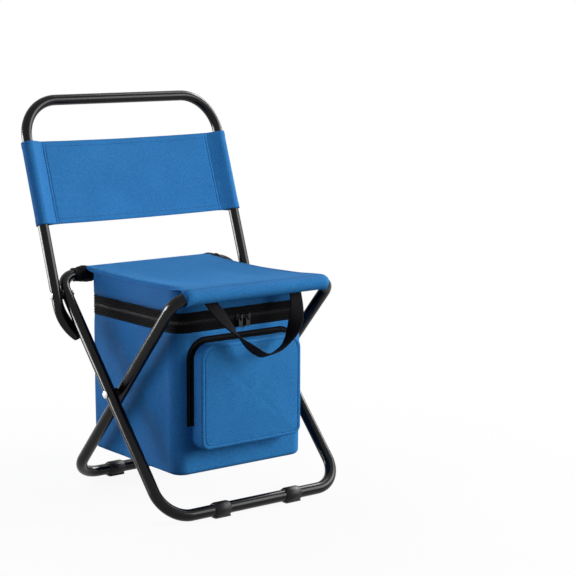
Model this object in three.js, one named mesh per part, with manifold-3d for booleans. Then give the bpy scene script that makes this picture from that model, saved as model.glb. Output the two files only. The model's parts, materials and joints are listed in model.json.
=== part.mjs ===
// Folding cooler stool: scissor tube legs, a sleeved seat that is the lid of a soft cooler bag,
// and a tube backrest that folds over the seat.
// Millimetres, +Z up, front towards -Y, the floor at Z = 0.

import * as THREE from 'three';
import { mergeVertices } from 'three/addons/utils/BufferGeometryUtils.js';
import Module from 'manifold-3d';

const wasm = await Module();
wasm.setup();

// Gap left between pieces that touch
const fitClearance = 0.3;

// Tube and scissor legs, between centre lines
const tubeDiameter = 16;
const legLength = 388.6;
const legLean = 41.73;
const innerLegHalfWidth = 130.2;
const scissorGap = 2.3;
const seatBendRadius = 24;
const floorBendRadius = 42;
const jointInset = 12;
const spigotDiameter = 12.6;
const spigotLength = 22;
const jointSleeveWall = 1.5;
const jointSleeveRidge = 0.6;

// Rivets and spacers
const rivetShankDiameter = 5;
const rivetHeadDiameter = 11;
const rivetHeadHeight = 3;
const spacerDiameter = 14;

// Backrest, measured along the hoop from its pivot rivet
const backrestGap = 1.6;
const backrestPivotDrop = 30;
const backrestLean = 18.8;
const backrestHeight = 280;
const backrestBendRadius = 57;
const tailLength = 62;
const tailFlatness = 0.6;
const tailSpread = 1.25;
const tailStraight = 10;
const tailLeadIn = [-0.5, 0.35, 1];
const panelBottom = 100;
const panelHeight = 120;
const panelThickness = 2.4;
const panelSleeveWall = 1.3;
const panelSeamInset = 21;
const panelSag = 6;

// Feet
const footSpacing = 120;
const footLength = 29;
const footLipLength = 4;
const footDiameter = 22;
const footLipDiameter = 19.6;
const footSole = 2.2;
const footSoleWidth = 12;

// Seat fabric
const seatSideRoom = 15.2;
const frontSleeveOverhang = 2;
const seatHalfWidth = innerLegHalfWidth - seatSideRoom;
const frontSleeveReach = seatHalfWidth + frontSleeveOverhang;
const rearSleeveReach = seatHalfWidth;
const sleeveWall = 2.4;
const seatThickness = 3;
const seatRise = 4.5;
const seatSag = 5;

// Cooler bag, hung under the seat
const bagSideRoom = 23.2;
const bagHalfWidth = innerLegHalfWidth - bagSideRoom;
const bagFrontInset = 31.3;
const bagRearInset = 22.3;
const bagCornerRadius = 18;
const bagEdgeRadius = 15;
const skirtDrop = 26.5;
const zipBandHeight = 27;
const tubDepth = 187;
const shellWall = 1.2;
const foamWall = 5;
const linerWall = 0.8;

// Lid zip
const zipTapeThickness = 1.6;
const zipChainWidth = 6;
const zipChainThickness = 1.2;
const zipRearStop = 30;

// Pocket on the front of the bag
const pocketSideInset = 24;
const pocketHalfWidth = bagHalfWidth - pocketSideInset;
const pocketHeight = 140;
const pocketTopDrop = 16;
const pocketDepth = 22.5;
const pocketTopRadius = 21;
const pocketBottomRadius = 12;
const pocketEdgeRadius = 6;
const pocketWall = 1.4;
const pocketZipWidth = 8;
const pocketZipThickness = 1.4;
const pocketZipLength = 110;

// Zip sliders and pulls
const sliderLength = 11;
const sliderHeight = 7.4;
const sliderPlate = 1.8;
const sliderSpacing = 12.4;
const archSpan = 6.6;
const archWidth = 2.4;
const archThickness = 1.4;
const archRoom = 2.6;
const pullWidth = 6.6;
const pullLength = 15;
const pullThickness = 1.2;
const pullBar = 1.8;
const pullEyeLength = 4.4;
const pullEyeWidth = 3.6;

// Carry handle webbing
const handleWidth = 20;
const handleThickness = 2;
const handleHalfSpan = 71.5;
const handleDrop = 86;
const handleReach = 21;
const handleSewnAngle = 36;

// Facets
const tubeSides = 16;
const bendStep = 15;
const roundSides = 20;
const rivetSides = 12;
const cornerSteps = 4;

// Places that follow from the dimensions above
const toRadians = THREE.MathUtils.degToRad;
const tubeRadius = tubeDiameter / 2;
const boreRadius = tubeRadius + fitClearance;
const outerLegHalfWidth = innerLegHalfWidth + tubeDiameter + scissorGap;
const hoopHalfWidth = outerLegHalfWidth + tubeDiameter + backrestGap;
const halfLeg = legLength / 2;
const floorBarHeight = footSole + boreRadius;
const pivotHeight = floorBarHeight + halfLeg * Math.cos(toRadians(legLean));
const seatBarHeight = pivotHeight + halfLeg * Math.cos(toRadians(legLean));
const barReach = halfLeg * Math.sin(toRadians(legLean));
const bagFront = -barReach + bagFrontInset;
const bagRear = barReach - bagRearInset;
const skirtBottom = seatBarHeight - skirtDrop;
const tubRim = skirtBottom - zipBandHeight;
const zipHeight = (skirtBottom + tubRim) / 2;
const sleeveRadius = boreRadius + sleeveWall;

const xAxis = new THREE.Vector3(1, 0, 0);
const yAxis = new THREE.Vector3(0, 1, 0);
const zAxis = new THREE.Vector3(0, 0, 1);

// Materials
const finish = (color, roughness, metalness) =>
  new THREE.MeshStandardMaterial({ color, roughness, metalness, flatShading: true });
const materials = {
  blackPaint: () => finish(0x16171a, 0.32, 0.1),
  steel: () => finish(0xc9ccd0, 0.28, 1),
  blackPlastic: () => finish(0x1a1b1d, 0.55, 0),
  blueFabric: () => finish(0x1d66ad, 0.85, 0),
  blackWebbing: () => finish(0x17181a, 0.9, 0),
  zipMetal: () => finish(0x24262a, 0.4, 0.6),
  foam: () => finish(0xe9e6dc, 0.95, 0),
  foil: () => finish(0xc4c8cc, 0.3, 0.8),
};

// A welded copy of a closed geometry with its faces pointing out
function weld(source) {
  const bare = source.clone();
  for (const name of Object.keys(bare.attributes)) {
    if (name !== 'position') bare.deleteAttribute(name);
  }
  const merged = mergeVertices(bare, 1e-3);
  const points = merged.attributes.position;
  const [a, b, c] = [new THREE.Vector3(), new THREE.Vector3(), new THREE.Vector3()];
  const faces = [];
  let volume = 0;
  for (let i = 0; i < merged.index.count; i += 3) {
    const [p, q, r] = [0, 1, 2].map((k) => merged.index.getX(i + k));
    if (p === q || q === r || r === p) continue;
    a.fromBufferAttribute(points, p);
    b.fromBufferAttribute(points, q);
    c.fromBufferAttribute(points, r);
    volume += a.dot(b.cross(c));
    faces.push([p, q, r]);
  }
  const turned = volume < 0 ? faces.map(([p, q, r]) => [p, r, q]) : faces;
  merged.setIndex(turned.flat());
  return merged;
}

function toSolid(geometry) {
  const welded = weld(geometry);
  const mesh = new wasm.Mesh({
    numProp: 3,
    vertProperties: new Float32Array(welded.attributes.position.array),
    triVerts: new Uint32Array(welded.index.array),
  });
  return new wasm.Manifold(mesh);
}

function toGeometry(solid) {
  const mesh = solid.getMesh();
  const geometry = new THREE.BufferGeometry();
  geometry.setAttribute('position', new THREE.BufferAttribute(mesh.vertProperties.slice(), 3));
  geometry.setIndex(new THREE.BufferAttribute(mesh.triVerts.slice(), 1));
  return geometry;
}

const cut = (body, ...tools) =>
  toGeometry(tools.reduce((solid, tool) => solid.subtract(toSolid(tool)), toSolid(body)));
const join = (first, ...others) =>
  toGeometry(others.reduce((solid, other) => solid.add(toSolid(other)), toSolid(first)));

function place(group, name, geometry, material) {
  const mesh = new THREE.Mesh(weld(geometry), material);
  mesh.name = name;
  group.add(mesh);
  return mesh;
}

// A path of straight runs, round bends and free curves, with stations only where its shape needs them
class Route extends THREE.Curve {
  constructor(stations) {
    super();
    this.stations = stations;
  }

  static from(point, heading, normal) {
    return new Route([{ point, tangent: heading.clone().normalize(), normal, flat: 1, spread: 1 }]);
  }

  get last() {
    return this.stations[this.stations.length - 1];
  }

  push(point, tangent) {
    const turn = new THREE.Quaternion().setFromUnitVectors(this.last.tangent, tangent);
    const normal = this.last.normal.clone().applyQuaternion(turn);
    this.stations.push({ point, tangent, normal, flat: 1, spread: 1 });
    return this;
  }

  line(length) {
    const { point, tangent } = this.last;
    return this.push(point.clone().addScaledVector(tangent, length), tangent.clone());
  }

  bend(axis, radius, degrees) {
    const { point, tangent } = this.last;
    const inward = axis.clone().cross(tangent);
    const centre = point.clone().addScaledVector(inward, radius);
    const steps = Math.max(2, Math.round(degrees / bendStep));
    for (let i = 1; i <= steps; i += 1) {
      const angle = toRadians(degrees * i / steps);
      const arm = inward.clone().multiplyScalar(-radius).applyAxisAngle(axis, angle);
      this.push(centre.clone().add(arm), tangent.clone().applyAxisAngle(axis, angle));
    }
    return this;
  }

  curveTo(end, heading, steps) {
    const { point, tangent } = this.last;
    const pull = point.distanceTo(end) / 3;
    const nearHandle = point.clone().addScaledVector(tangent, pull);
    const farHandle = end.clone().addScaledVector(heading, -pull);
    const curve = new THREE.CubicBezierCurve3(point, nearHandle, farHandle, end);
    for (let i = 1; i <= steps; i += 1) {
      this.push(curve.getPoint(i / steps), curve.getTangent(i / steps).normalize());
    }
    return this;
  }

  // Press the section flat at both ends, easing in over a count of stations
  flattenEnds(flat, spread, count) {
    const total = this.stations.length;
    for (let i = 0; i < count; i += 1) {
      const share = Math.min(1, (count - i) / (count - 1));
      for (const station of [this.stations[i], this.stations[total - 1 - i]]) {
        station.flat = THREE.MathUtils.lerp(1, flat, share);
        station.spread = THREE.MathUtils.lerp(1, spread, share);
      }
    }
    return this;
  }

  getSpacedPoints() {
    return this.stations.map((station) => station.point);
  }

  computeFrenetFrames() {
    const tangents = this.stations.map((station) => station.tangent);
    const normals = this.stations.map(({ normal, flat }) => normal.clone().multiplyScalar(flat));
    const binormals = this.stations.map(({ tangent, normal, spread }) =>
      tangent.clone().cross(normal).multiplyScalar(spread));
    return { tangents, normals, binormals };
  }

  sweep(section) {
    const steps = this.stations.length - 1;
    return new THREE.ExtrudeGeometry(section, { steps, extrudePath: this });
  }
}

// Sections and outlines
function circlePoints(radius, sides) {
  const points = [];
  for (let i = 0; i < sides; i += 1) {
    const angle = 2 * Math.PI * i / sides;
    points.push(new THREE.Vector2(radius * Math.cos(angle), radius * Math.sin(angle)));
  }
  return points;
}

const discSection = (radius, sides = tubeSides) => new THREE.Shape(circlePoints(radius, sides));

function ringSection(outerRadius, innerRadius) {
  const section = discSection(outerRadius);
  section.holes.push(new THREE.Path(circlePoints(innerRadius, tubeSides).reverse()));
  return section;
}

// A box outline whose lower and upper corners may have their own radii
function roundedOutline(left, right, low, high, lowRadius, highRadius = lowRadius) {
  const quarter = Math.PI / 2;
  const outline = new THREE.Shape();
  outline.absarc(right - lowRadius, low + lowRadius, lowRadius, -quarter, 0);
  outline.absarc(right - highRadius, high - highRadius, highRadius, 0, quarter);
  outline.absarc(left + highRadius, high - highRadius, highRadius, quarter, 2 * quarter);
  outline.absarc(left + lowRadius, low + lowRadius, lowRadius, 2 * quarter, 3 * quarter);
  outline.closePath();
  return outline;
}

const prism = (outline, depth) =>
  new THREE.ExtrudeGeometry(outline, { depth, bevelEnabled: false, curveSegments: cornerSteps });

// An outline drawn in Y and Z, extruded along X about the middle plane
const alongX = (outline, length) =>
  prism(outline, length).translate(0, 0, -length / 2).rotateX(Math.PI / 2).rotateZ(Math.PI / 2);

const cylinderX = (radius, from, to, sides = roundSides) =>
  new THREE.CylinderGeometry(radius, radius, Math.abs(to - from), sides)
    .rotateZ(Math.PI / 2)
    .translate((from + to) / 2, 0, 0);

// A block with a flat top at Z = 0 and a rounded lower edge, down to -depth
function pan(outline, depth, edgeRadius) {
  const block = new THREE.ExtrudeGeometry(outline, {
    depth,
    bevelThickness: edgeRadius,
    bevelSize: edgeRadius,
    bevelOffset: -edgeRadius,
    bevelSegments: cornerSteps,
    curveSegments: cornerSteps,
  });
  block.translate(0, 0, edgeRadius - depth);
  block.computeBoundingBox();
  const size = block.boundingBox.getSize(new THREE.Vector3());
  const middle = block.boundingBox.getCenter(new THREE.Vector3());
  const above = new THREE.BoxGeometry(2 * size.x, 2 * size.y, 2 * size.z);
  above.translate(middle.x, middle.y, size.z);
  return cut(block, above);
}

// Leg frames, drawn upright about the scissor pivot: X across, Z up the leg
const bendStart = (halfWidth) => halfWidth - seatBendRadius;
const jointReach = (halfWidth) => bendStart(halfWidth) - jointInset;

function legFrame(halfWidth) {
  const start = new THREE.Vector3(jointReach(halfWidth), 0, halfLeg);
  const legRun = legLength - seatBendRadius - floorBendRadius;
  const route = Route.from(start, xAxis, yAxis)
    .line(jointInset)
    .bend(yAxis, seatBendRadius, 90)
    .line(legRun)
    .bend(yAxis, floorBendRadius, 90)
    .line(2 * (halfWidth - floorBendRadius))
    .bend(yAxis, floorBendRadius, 90)
    .line(legRun)
    .bend(yAxis, seatBendRadius, 90)
    .line(jointInset);
  const socketRadius = spigotDiameter / 2 + fitClearance;
  const socketEnd = jointReach(halfWidth) + spigotLength + fitClearance;
  const socket = cylinderX(socketRadius, -socketEnd, socketEnd).translate(0, 0, halfLeg);
  const inside = new THREE.BoxGeometry(2 * jointReach(halfWidth), tubeDiameter, tubeDiameter);
  const rivetHole = cylinderX(rivetShankDiameter / 2 + fitClearance, -2 * halfWidth, 2 * halfWidth);
  return cut(route.sweep(discSection(tubeRadius)), socket, inside.translate(0, 0, halfLeg), rivetHole);
}

// Straight bar with a reduced spigot at each end that plugs into the leg frame
function seatBar(halfWidth) {
  const shoulder = jointReach(halfWidth) - fitClearance;
  const tip = jointReach(halfWidth) + spigotLength;
  const bar = cylinderX(tubeRadius, -shoulder, shoulder, tubeSides);
  const spigot = cylinderX(spigotDiameter / 2, -tip, tip);
  return join(bar, spigot).translate(0, 0, halfLeg);
}

// Path along a seat bar and, where it reaches further, round the start of the bends
function barRoute(halfWidth, reach) {
  const straight = Math.min(reach, bendStart(halfWidth));
  const round = THREE.MathUtils.radToDeg(Math.asin((reach - straight) / seatBendRadius));
  const outEnd = new THREE.Vector3(
    -straight - seatBendRadius * Math.sin(toRadians(round)), 0,
    halfLeg - seatBendRadius * (1 - Math.cos(toRadians(round))));
  const route = Route.from(outEnd, xAxis.clone().applyAxisAngle(yAxis, toRadians(-round)), yAxis);
  if (round > 0) route.bend(yAxis, seatBendRadius, round);
  route.line(2 * straight);
  if (round > 0) route.bend(yAxis, seatBendRadius, round);
  return route;
}

const fabricSleeve = (halfWidth, reach) =>
  barRoute(halfWidth, reach).sweep(ringSection(sleeveRadius, boreRadius));

// Gathered cover over the visible end of the rear bar, with raised ridges
function jointSleeve() {
  const length = bendStart(outerLegHalfWidth) - rearSleeveReach - fitClearance;
  const outer = boreRadius + jointSleeveWall;
  const profile = [new THREE.Vector2(boreRadius, 0)];
  const ridges = 3;
  for (let i = 0; i < ridges; i += 1) {
    profile.push(new THREE.Vector2(outer, length * i / ridges));
    profile.push(new THREE.Vector2(outer + jointSleeveRidge, length * (i + 0.5) / ridges));
  }
  profile.push(new THREE.Vector2(outer, length), new THREE.Vector2(boreRadius, length));
  profile.push(profile[0].clone());
  return new THREE.LatheGeometry(profile, tubeSides).rotateZ(-Math.PI / 2);
}

// Rivet along +X: a domed head outside the outer tube and an upset head inside the inner tube
function rivet(innerCentre, outerCentre) {
  const shank = rivetShankDiameter / 2;
  const head = rivetHeadDiameter / 2;
  const from = innerCentre - tubeRadius - fitClearance;
  const to = outerCentre + tubeRadius + fitClearance;
  const dome = rivetHeadHeight;
  const profile = [
    new THREE.Vector2(0, from - dome / 2),
    new THREE.Vector2(head * 0.75, from - dome / 2),
    new THREE.Vector2(head * 0.75, from),
    new THREE.Vector2(shank, from),
    new THREE.Vector2(shank, to),
    new THREE.Vector2(head, to),
    new THREE.Vector2(head, to + dome * 0.25),
    new THREE.Vector2(head * 0.86, to + dome * 0.62),
    new THREE.Vector2(head * 0.5, to + dome * 0.92),
    new THREE.Vector2(0, to + dome),
  ];
  return new THREE.LatheGeometry(profile, rivetSides).rotateZ(-Math.PI / 2);
}

function spacer(innerCentre, gap) {
  const from = innerCentre + tubeRadius + fitClearance;
  const ring = ringSection(spacerDiameter / 2, rivetShankDiameter / 2 + fitClearance);
  return prism(ring, gap - 2 * fitClearance).rotateY(Math.PI / 2).translate(from, 0, 0);
}

// Plastic sleeve foot round a floor bar, with a flat sole and a thin lip at each end
function foot() {
  const drop = floorBarHeight;
  const body = (diameter, length) => {
    const outline = new THREE.Shape();
    const open = Math.PI / 3;
    outline.absarc(0, 0, diameter / 2, -Math.PI / 2 + open / 2, 1.5 * Math.PI - open / 2);
    outline.lineTo(-footSoleWidth / 2, -drop);
    outline.lineTo(footSoleWidth / 2, -drop);
    outline.closePath();
    return new THREE.ExtrudeGeometry(outline, { depth: length, bevelEnabled: false, curveSegments: 10 })
      .translate(0, 0, -length / 2)
      .rotateX(Math.PI / 2)
      .rotateZ(Math.PI / 2);
  };
  const ring = join(body(footDiameter, footLength - 2 * footLipLength), body(footLipDiameter, footLength));
  return cut(ring, cylinderX(boreRadius, -footLength, footLength));
}

// Backrest hoop about its pivot: X across, Z up the hoop
function backrestHoop() {
  const lean = toRadians(legLean - backrestLean);
  const stopDistance = tubeRadius + tubeRadius * tailFlatness + fitClearance;
  const tailEnd = new THREE.Vector3(-outerLegHalfWidth, stopDistance, -tailLength);
  tailEnd.applyAxisAngle(xAxis, -lean);
  const towardsLeg = yAxis.clone().negate().applyAxisAngle(xAxis, -lean);
  const leadIn = new THREE.Vector3(...tailLeadIn).applyAxisAngle(xAxis, -lean).normalize();
  const mirrored = (v) => new THREE.Vector3(-v.x, v.y, v.z);
  const run = backrestHeight - backrestBendRadius + tailStraight;
  const route = Route.from(tailEnd, leadIn, towardsLeg)
    .curveTo(new THREE.Vector3(-hoopHalfWidth, 0, -tailStraight), zAxis, 6)
    .line(run)
    .bend(yAxis, backrestBendRadius, 90)
    .line(2 * (hoopHalfWidth - backrestBendRadius))
    .bend(yAxis, backrestBendRadius, 90)
    .line(run)
    .curveTo(mirrored(tailEnd), mirrored(leadIn).negate(), 6)
    .flattenEnds(tailFlatness, tailSpread, 5);
  const rivetHole = cylinderX(rivetShankDiameter / 2 + fitClearance, -2 * hoopHalfWidth, 2 * hoopHalfWidth);
  return cut(route.sweep(discSection(tubeRadius)), rivetHole);
}

// Backrest band: one fabric web between two sleeves that wrap the side tubes
function backrestPanel() {
  const wrap = boreRadius + panelSleeveWall;
  const half = panelThickness / 2;
  const seam = hoopHalfWidth - panelSeamInset;
  const leave = toRadians(55);
  const wrapX = wrap * Math.cos(leave);
  const wrapY = wrap * Math.sin(leave);
  const outline = new THREE.Shape();
  outline.absarc(hoopHalfWidth, 0, wrap, leave - Math.PI, Math.PI - leave);
  outline.quadraticCurveTo(seam + wrapX, half, seam, half);
  outline.quadraticCurveTo(0, half + 2 * panelSag, -seam, half);
  outline.quadraticCurveTo(-seam - wrapX, half, -hoopHalfWidth + wrapX, wrapY);
  outline.absarc(-hoopHalfWidth, 0, wrap, leave, 2 * Math.PI - leave);
  outline.quadraticCurveTo(-seam - wrapX, -half, -seam, -half);
  outline.quadraticCurveTo(0, -half + 2 * panelSag, seam, -half);
  outline.quadraticCurveTo(seam + wrapX, -half, hoopHalfWidth - wrapX, -wrapY);
  for (const side of [-1, 1]) {
    const points = circlePoints(boreRadius, tubeSides).reverse();
    outline.holes.push(new THREE.Path(points.map((p) => p.setX(p.x + side * hoopHalfWidth))));
  }
  const settings = { depth: panelHeight, bevelEnabled: false, curveSegments: 6 };
  return new THREE.ExtrudeGeometry(outline, settings).translate(0, 0, panelBottom);
}

// Underside of the seat between the two sleeves, as a sagging curve in Y and Z
const seatEnd = (rise) => barReach - fitClearance - Math.sqrt(sleeveRadius ** 2 - rise ** 2);

function seatPanel() {
  const low = seatBarHeight + seatRise;
  const high = low + seatThickness;
  const lowEnd = seatEnd(seatRise);
  const highEnd = seatEnd(seatRise + seatThickness);
  const outline = new THREE.Shape();
  outline.moveTo(-lowEnd, low);
  outline.quadraticCurveTo(0, low - 2 * seatSag, lowEnd, low);
  outline.lineTo(highEnd, high);
  outline.quadraticCurveTo(0, high - 2 * seatSag, -highEnd, high);
  outline.closePath();
  const frontSleeve = barRoute(innerLegHalfWidth, frontSleeveReach)
    .sweep(discSection(sleeveRadius + fitClearance))
    .rotateX(toRadians(legLean))
    .translate(0, 0, pivotHeight);
  return cut(alongX(outline, 2 * seatHalfWidth), frontSleeve);
}

// Everything above the seat's underside, less the fit clearance, as a cutting tool
function aboveSeat() {
  const low = seatBarHeight + seatRise - fitClearance;
  const end = seatEnd(seatRise);
  const outline = new THREE.Shape();
  outline.moveTo(-end, low);
  outline.quadraticCurveTo(0, low - 2 * seatSag, end, low);
  outline.lineTo(end, low + skirtDrop);
  outline.lineTo(-end, low + skirtDrop);
  outline.closePath();
  return alongX(outline, 4 * bagHalfWidth);
}

// Bag outline seen from above, drawn in by an inset
const bagOutline = (inset) =>
  roundedOutline(inset - bagHalfWidth, bagHalfWidth - inset, bagFront + inset, bagRear - inset,
    Math.max(bagCornerRadius - inset, 1));

function lidSkirt() {
  const height = skirtDrop + seatRise;
  const inside = prism(bagOutline(shellWall), 3 * height).translate(0, 0, -height);
  const wall = cut(prism(bagOutline(0), height), inside);
  return cut(wall.translate(0, 0, skirtBottom), aboveSeat());
}

function lidFoil() {
  return prism(bagOutline(shellWall + fitClearance), linerWall).translate(0, 0, skirtBottom);
}

function lidFoam() {
  const low = skirtBottom + linerWall + fitClearance;
  const block = prism(bagOutline(shellWall + fitClearance), skirtDrop + seatRise).translate(0, 0, low);
  return cut(block, aboveSeat());
}

// A strip of the zip that follows the bag's sides and front, open towards the rear
function zipStrip(outset, thickness, low, high) {
  const ring = cut(
    prism(bagOutline(-outset), high - low),
    prism(bagOutline(thickness - outset), 3 * (high - low)).translate(0, 0, low - high));
  const rear = new THREE.BoxGeometry(4 * bagHalfWidth, bagRear - bagFront, 4 * (high - low));
  rear.translate(0, bagRear - zipRearStop + (bagRear - bagFront) / 2, 0);
  return cut(ring, rear).translate(0, 0, low);
}

const chainOutset = fitClearance + zipChainThickness;

// One open-topped layer of the bag, with its outer face drawn in by an inset
function tubLayer(inset, wall) {
  const layer = (depth) => pan(bagOutline(depth), tubDepth - depth, Math.max(bagEdgeRadius - depth, 1));
  const mouth = prism(bagOutline(inset + wall), wall).translate(0, 0, -wall / 2);
  return cut(layer(inset), layer(inset + wall), mouth).translate(0, 0, tubRim);
}

// Outer fabric, whose rear wall runs on up to the lid as the hinge
function coolerShell() {
  const hinge = cut(
    prism(bagOutline(0), zipBandHeight - fitClearance),
    prism(bagOutline(shellWall), 3 * zipBandHeight).translate(0, 0, -zipBandHeight),
    new THREE.BoxGeometry(4 * bagHalfWidth, bagRear - bagFront, 4 * zipBandHeight)
      .translate(0, bagRear - zipRearStop + fitClearance - (bagRear - bagFront) / 2, 0));
  return join(tubLayer(0, shellWall), hinge.translate(0, 0, tubRim));
}

// Pocket, drawn upright and facing the front wall of the bag
const pocketTop = tubRim - pocketTopDrop;
const pocketBack = bagFront - fitClearance;

const pocketOutline = (inset) =>
  roundedOutline(inset - pocketHalfWidth, pocketHalfWidth - inset, pocketTop - pocketHeight + inset,
    pocketTop - inset, pocketBottomRadius - inset, pocketTopRadius - inset);

const facingFront = (geometry) => geometry.scale(1, 1, -1).rotateX(Math.PI / 2).translate(0, pocketBack, 0);

function pocketCover() {
  const outer = pan(pocketOutline(0), pocketDepth, pocketEdgeRadius);
  const inner = pan(pocketOutline(pocketWall), pocketDepth - pocketWall, pocketEdgeRadius - pocketWall);
  const mouth = prism(pocketOutline(pocketWall), pocketWall).translate(0, 0, -pocketWall / 2);
  return facingFront(cut(outer, inner, mouth));
}

// Zip tape on the bag's front wall, round the pocket's sides and top
function pocketZip() {
  const inner = -fitClearance;
  const outer = inner - pocketZipWidth;
  const ring = cut(
    prism(pocketOutline(outer), pocketZipThickness),
    prism(pocketOutline(inner), 3 * pocketZipThickness).translate(0, 0, -pocketZipThickness));
  const below = new THREE.BoxGeometry(4 * pocketHalfWidth, 2 * pocketHeight, 4 * pocketZipThickness);
  below.translate(0, pocketTop - pocketZipLength - pocketHeight, 0);
  return cut(ring, below).rotateX(Math.PI / 2).translate(0, pocketBack, 0);
}

// Zip slider on its chain: a waisted plate and an arch for the pull, facing -Y from Y = 0
function zipSlider(length, height) {
  const half = length / 2;
  const outline = new THREE.Shape();
  outline.moveTo(-half, -height / 2);
  outline.quadraticCurveTo(0, -height * 0.36, half, -height * 0.36);
  outline.lineTo(half, height * 0.36);
  outline.quadraticCurveTo(0, height * 0.36, -half, height / 2);
  outline.closePath();
  const plate = prism(outline, sliderPlate).rotateX(Math.PI / 2);
  const top = sliderPlate + archRoom + archThickness;
  const side = archSpan / 2;
  const arch = new THREE.Shape();
  arch.moveTo(-sliderPlate / 2, -side);
  arch.lineTo(-top + archThickness, -side);
  arch.lineTo(-top, -side + archThickness);
  arch.lineTo(-top, side - archThickness);
  arch.lineTo(-top + archThickness, side);
  arch.lineTo(-sliderPlate / 2, side);
  arch.lineTo(-sliderPlate / 2, side - archThickness);
  arch.lineTo(-top + archThickness, side - archThickness);
  arch.lineTo(-top + archThickness, archThickness - side);
  arch.lineTo(-sliderPlate / 2, archThickness - side);
  arch.closePath();
  return join(plate, alongX(arch, archWidth));
}

// Pull tab hanging from the arch, with an eye that the arch's lower post passes through
function zipPull() {
  const half = pullWidth / 2;
  const high = pullBar / 2;
  const outline = roundedOutline(-half, half, high - pullLength, high, half * 0.8, pullBar / 2);
  const eye = roundedOutline(-pullEyeWidth / 2, pullEyeWidth / 2, -high - pullEyeLength, -high, 0.6);
  outline.holes.push(new THREE.Path(eye.getPoints(2).reverse()));
  const middle = -sliderPlate - archRoom / 2;
  return prism(outline, pullThickness).rotateX(Math.PI / 2).translate(0, middle + pullThickness / 2, 0);
}

// Webbing strap under the front sleeve, twisted from flat at its sewn ends to on edge at its middle
function carryHandle() {
  const sewn = toRadians(handleSewnAngle);
  const hold = sleeveRadius + fitClearance + handleThickness / 2;
  const end = new THREE.Vector3(-handleHalfSpan, hold * Math.sin(sewn), -hold * Math.cos(sewn));
  const low = new THREE.Vector3(0, -handleReach, -handleDrop);
  const lift = new THREE.Vector3(0, low.y - end.y, low.z - end.z);
  const down = lift.clone().normalize();
  const steps = 20;
  const stations = [];
  for (let i = 0; i <= steps; i += 1) {
    const along = -1 + 2 * i / steps;
    const sweep = Math.PI / 2 * along;
    const point = new THREE.Vector3(handleHalfSpan * Math.sin(sweep), end.y, end.z);
    point.addScaledVector(lift, Math.cos(sweep));
    const tangent = xAxis.clone().multiplyScalar(handleHalfSpan * Math.cos(sweep));
    tangent.addScaledVector(lift, -Math.sin(sweep)).normalize();
    const flatWise = new THREE.Vector3().crossVectors(down, xAxis);
    const edgeWise = tangent.clone().cross(flatWise);
    const twist = Math.min(1, 2 * (1 - Math.abs(along)));
    const turn = THREE.MathUtils.smoothstep(twist, 0, 1) * Math.PI / 2;
    const normal = edgeWise.multiplyScalar(Math.cos(turn) * Math.sign(along || 1));
    normal.addScaledVector(flatWise, Math.sin(turn));
    stations.push({ point, tangent, normal: normal.normalize(), flat: 1, spread: 1 });
  }
  const half = handleWidth / 2;
  const section = new THREE.Shape([
    new THREE.Vector2(-half, -handleThickness / 2),
    new THREE.Vector2(half, -handleThickness / 2),
    new THREE.Vector2(half, handleThickness / 2),
    new THREE.Vector2(-half, handleThickness / 2),
  ]);
  return new Route(stations).sweep(section);
}

const sides = [['left', -1], ['right', 1]];
const stool = new THREE.Group();

// Inner leg frame: rear floor bar, front seat bar
const innerLegs = new THREE.Group();
innerLegs.position.set(0, 0, pivotHeight);
innerLegs.rotation.x = toRadians(legLean);
stool.add(innerLegs);
place(innerLegs, 'rear_leg_frame', legFrame(innerLegHalfWidth), materials.blackPaint());
place(innerLegs, 'front_seat_bar', seatBar(innerLegHalfWidth), materials.blackPaint());

// Outer leg frame: front floor bar, rear seat bar
const outerLegs = new THREE.Group();
outerLegs.position.set(0, 0, pivotHeight);
outerLegs.rotation.x = toRadians(-legLean);
stool.add(outerLegs);
const outerFrame = cut(
  legFrame(outerLegHalfWidth),
  cylinderX(rivetShankDiameter / 2 + fitClearance, -2 * hoopHalfWidth, 2 * hoopHalfWidth)
    .translate(0, 0, halfLeg - backrestPivotDrop));
place(outerLegs, 'front_leg_frame', outerFrame, materials.blackPaint());
place(outerLegs, 'rear_seat_bar', seatBar(outerLegHalfWidth), materials.blackPaint());
const rearSleeve = fabricSleeve(outerLegHalfWidth, rearSleeveReach);
place(outerLegs, 'seat_rear_sleeve', rearSleeve, materials.blueFabric());
const frontSleeve = fabricSleeve(innerLegHalfWidth, frontSleeveReach);
place(innerLegs, 'seat_front_sleeve', frontSleeve, materials.blueFabric());

// Backrest pivot on the outer legs
const backrest = new THREE.Group();
backrest.position.set(0, 0, halfLeg - backrestPivotDrop);
backrest.rotation.x = toRadians(legLean - backrestLean);
outerLegs.add(backrest);
place(backrest, 'backrest_hoop', backrestHoop(), materials.blackPaint());
place(backrest, 'backrest_panel', backrestPanel(), materials.blueFabric());

for (const [side, sign] of sides) {
  const turned = sign > 0 ? 0 : Math.PI;
  place(innerLegs, `scissor_rivet_${side}`, rivet(innerLegHalfWidth, outerLegHalfWidth), materials.steel())
    .rotation.z = turned;
  place(innerLegs, `scissor_spacer_${side}`, spacer(innerLegHalfWidth, scissorGap), materials.blackPlastic())
    .rotation.z = turned;
  place(backrest, `backrest_rivet_${side}`, rivet(outerLegHalfWidth, hoopHalfWidth), materials.steel())
    .rotation.z = turned;
  place(backrest, `backrest_spacer_${side}`, spacer(outerLegHalfWidth, backrestGap), materials.blackPlastic())
    .rotation.z = turned;

  const cover = place(outerLegs, `rear_bar_sleeve_${side}`, jointSleeve(), materials.blackWebbing());
  cover.position.set(sign * (rearSleeveReach + fitClearance), 0, halfLeg);
  cover.rotation.z = turned;

  for (const [end, reach] of [['front', -barReach], ['rear', barReach]]) {
    place(stool, `foot_${end}_${side}`, foot(), materials.blackPlastic())
      .position.set(sign * footSpacing / 2, reach, floorBarHeight);
  }
}

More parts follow.
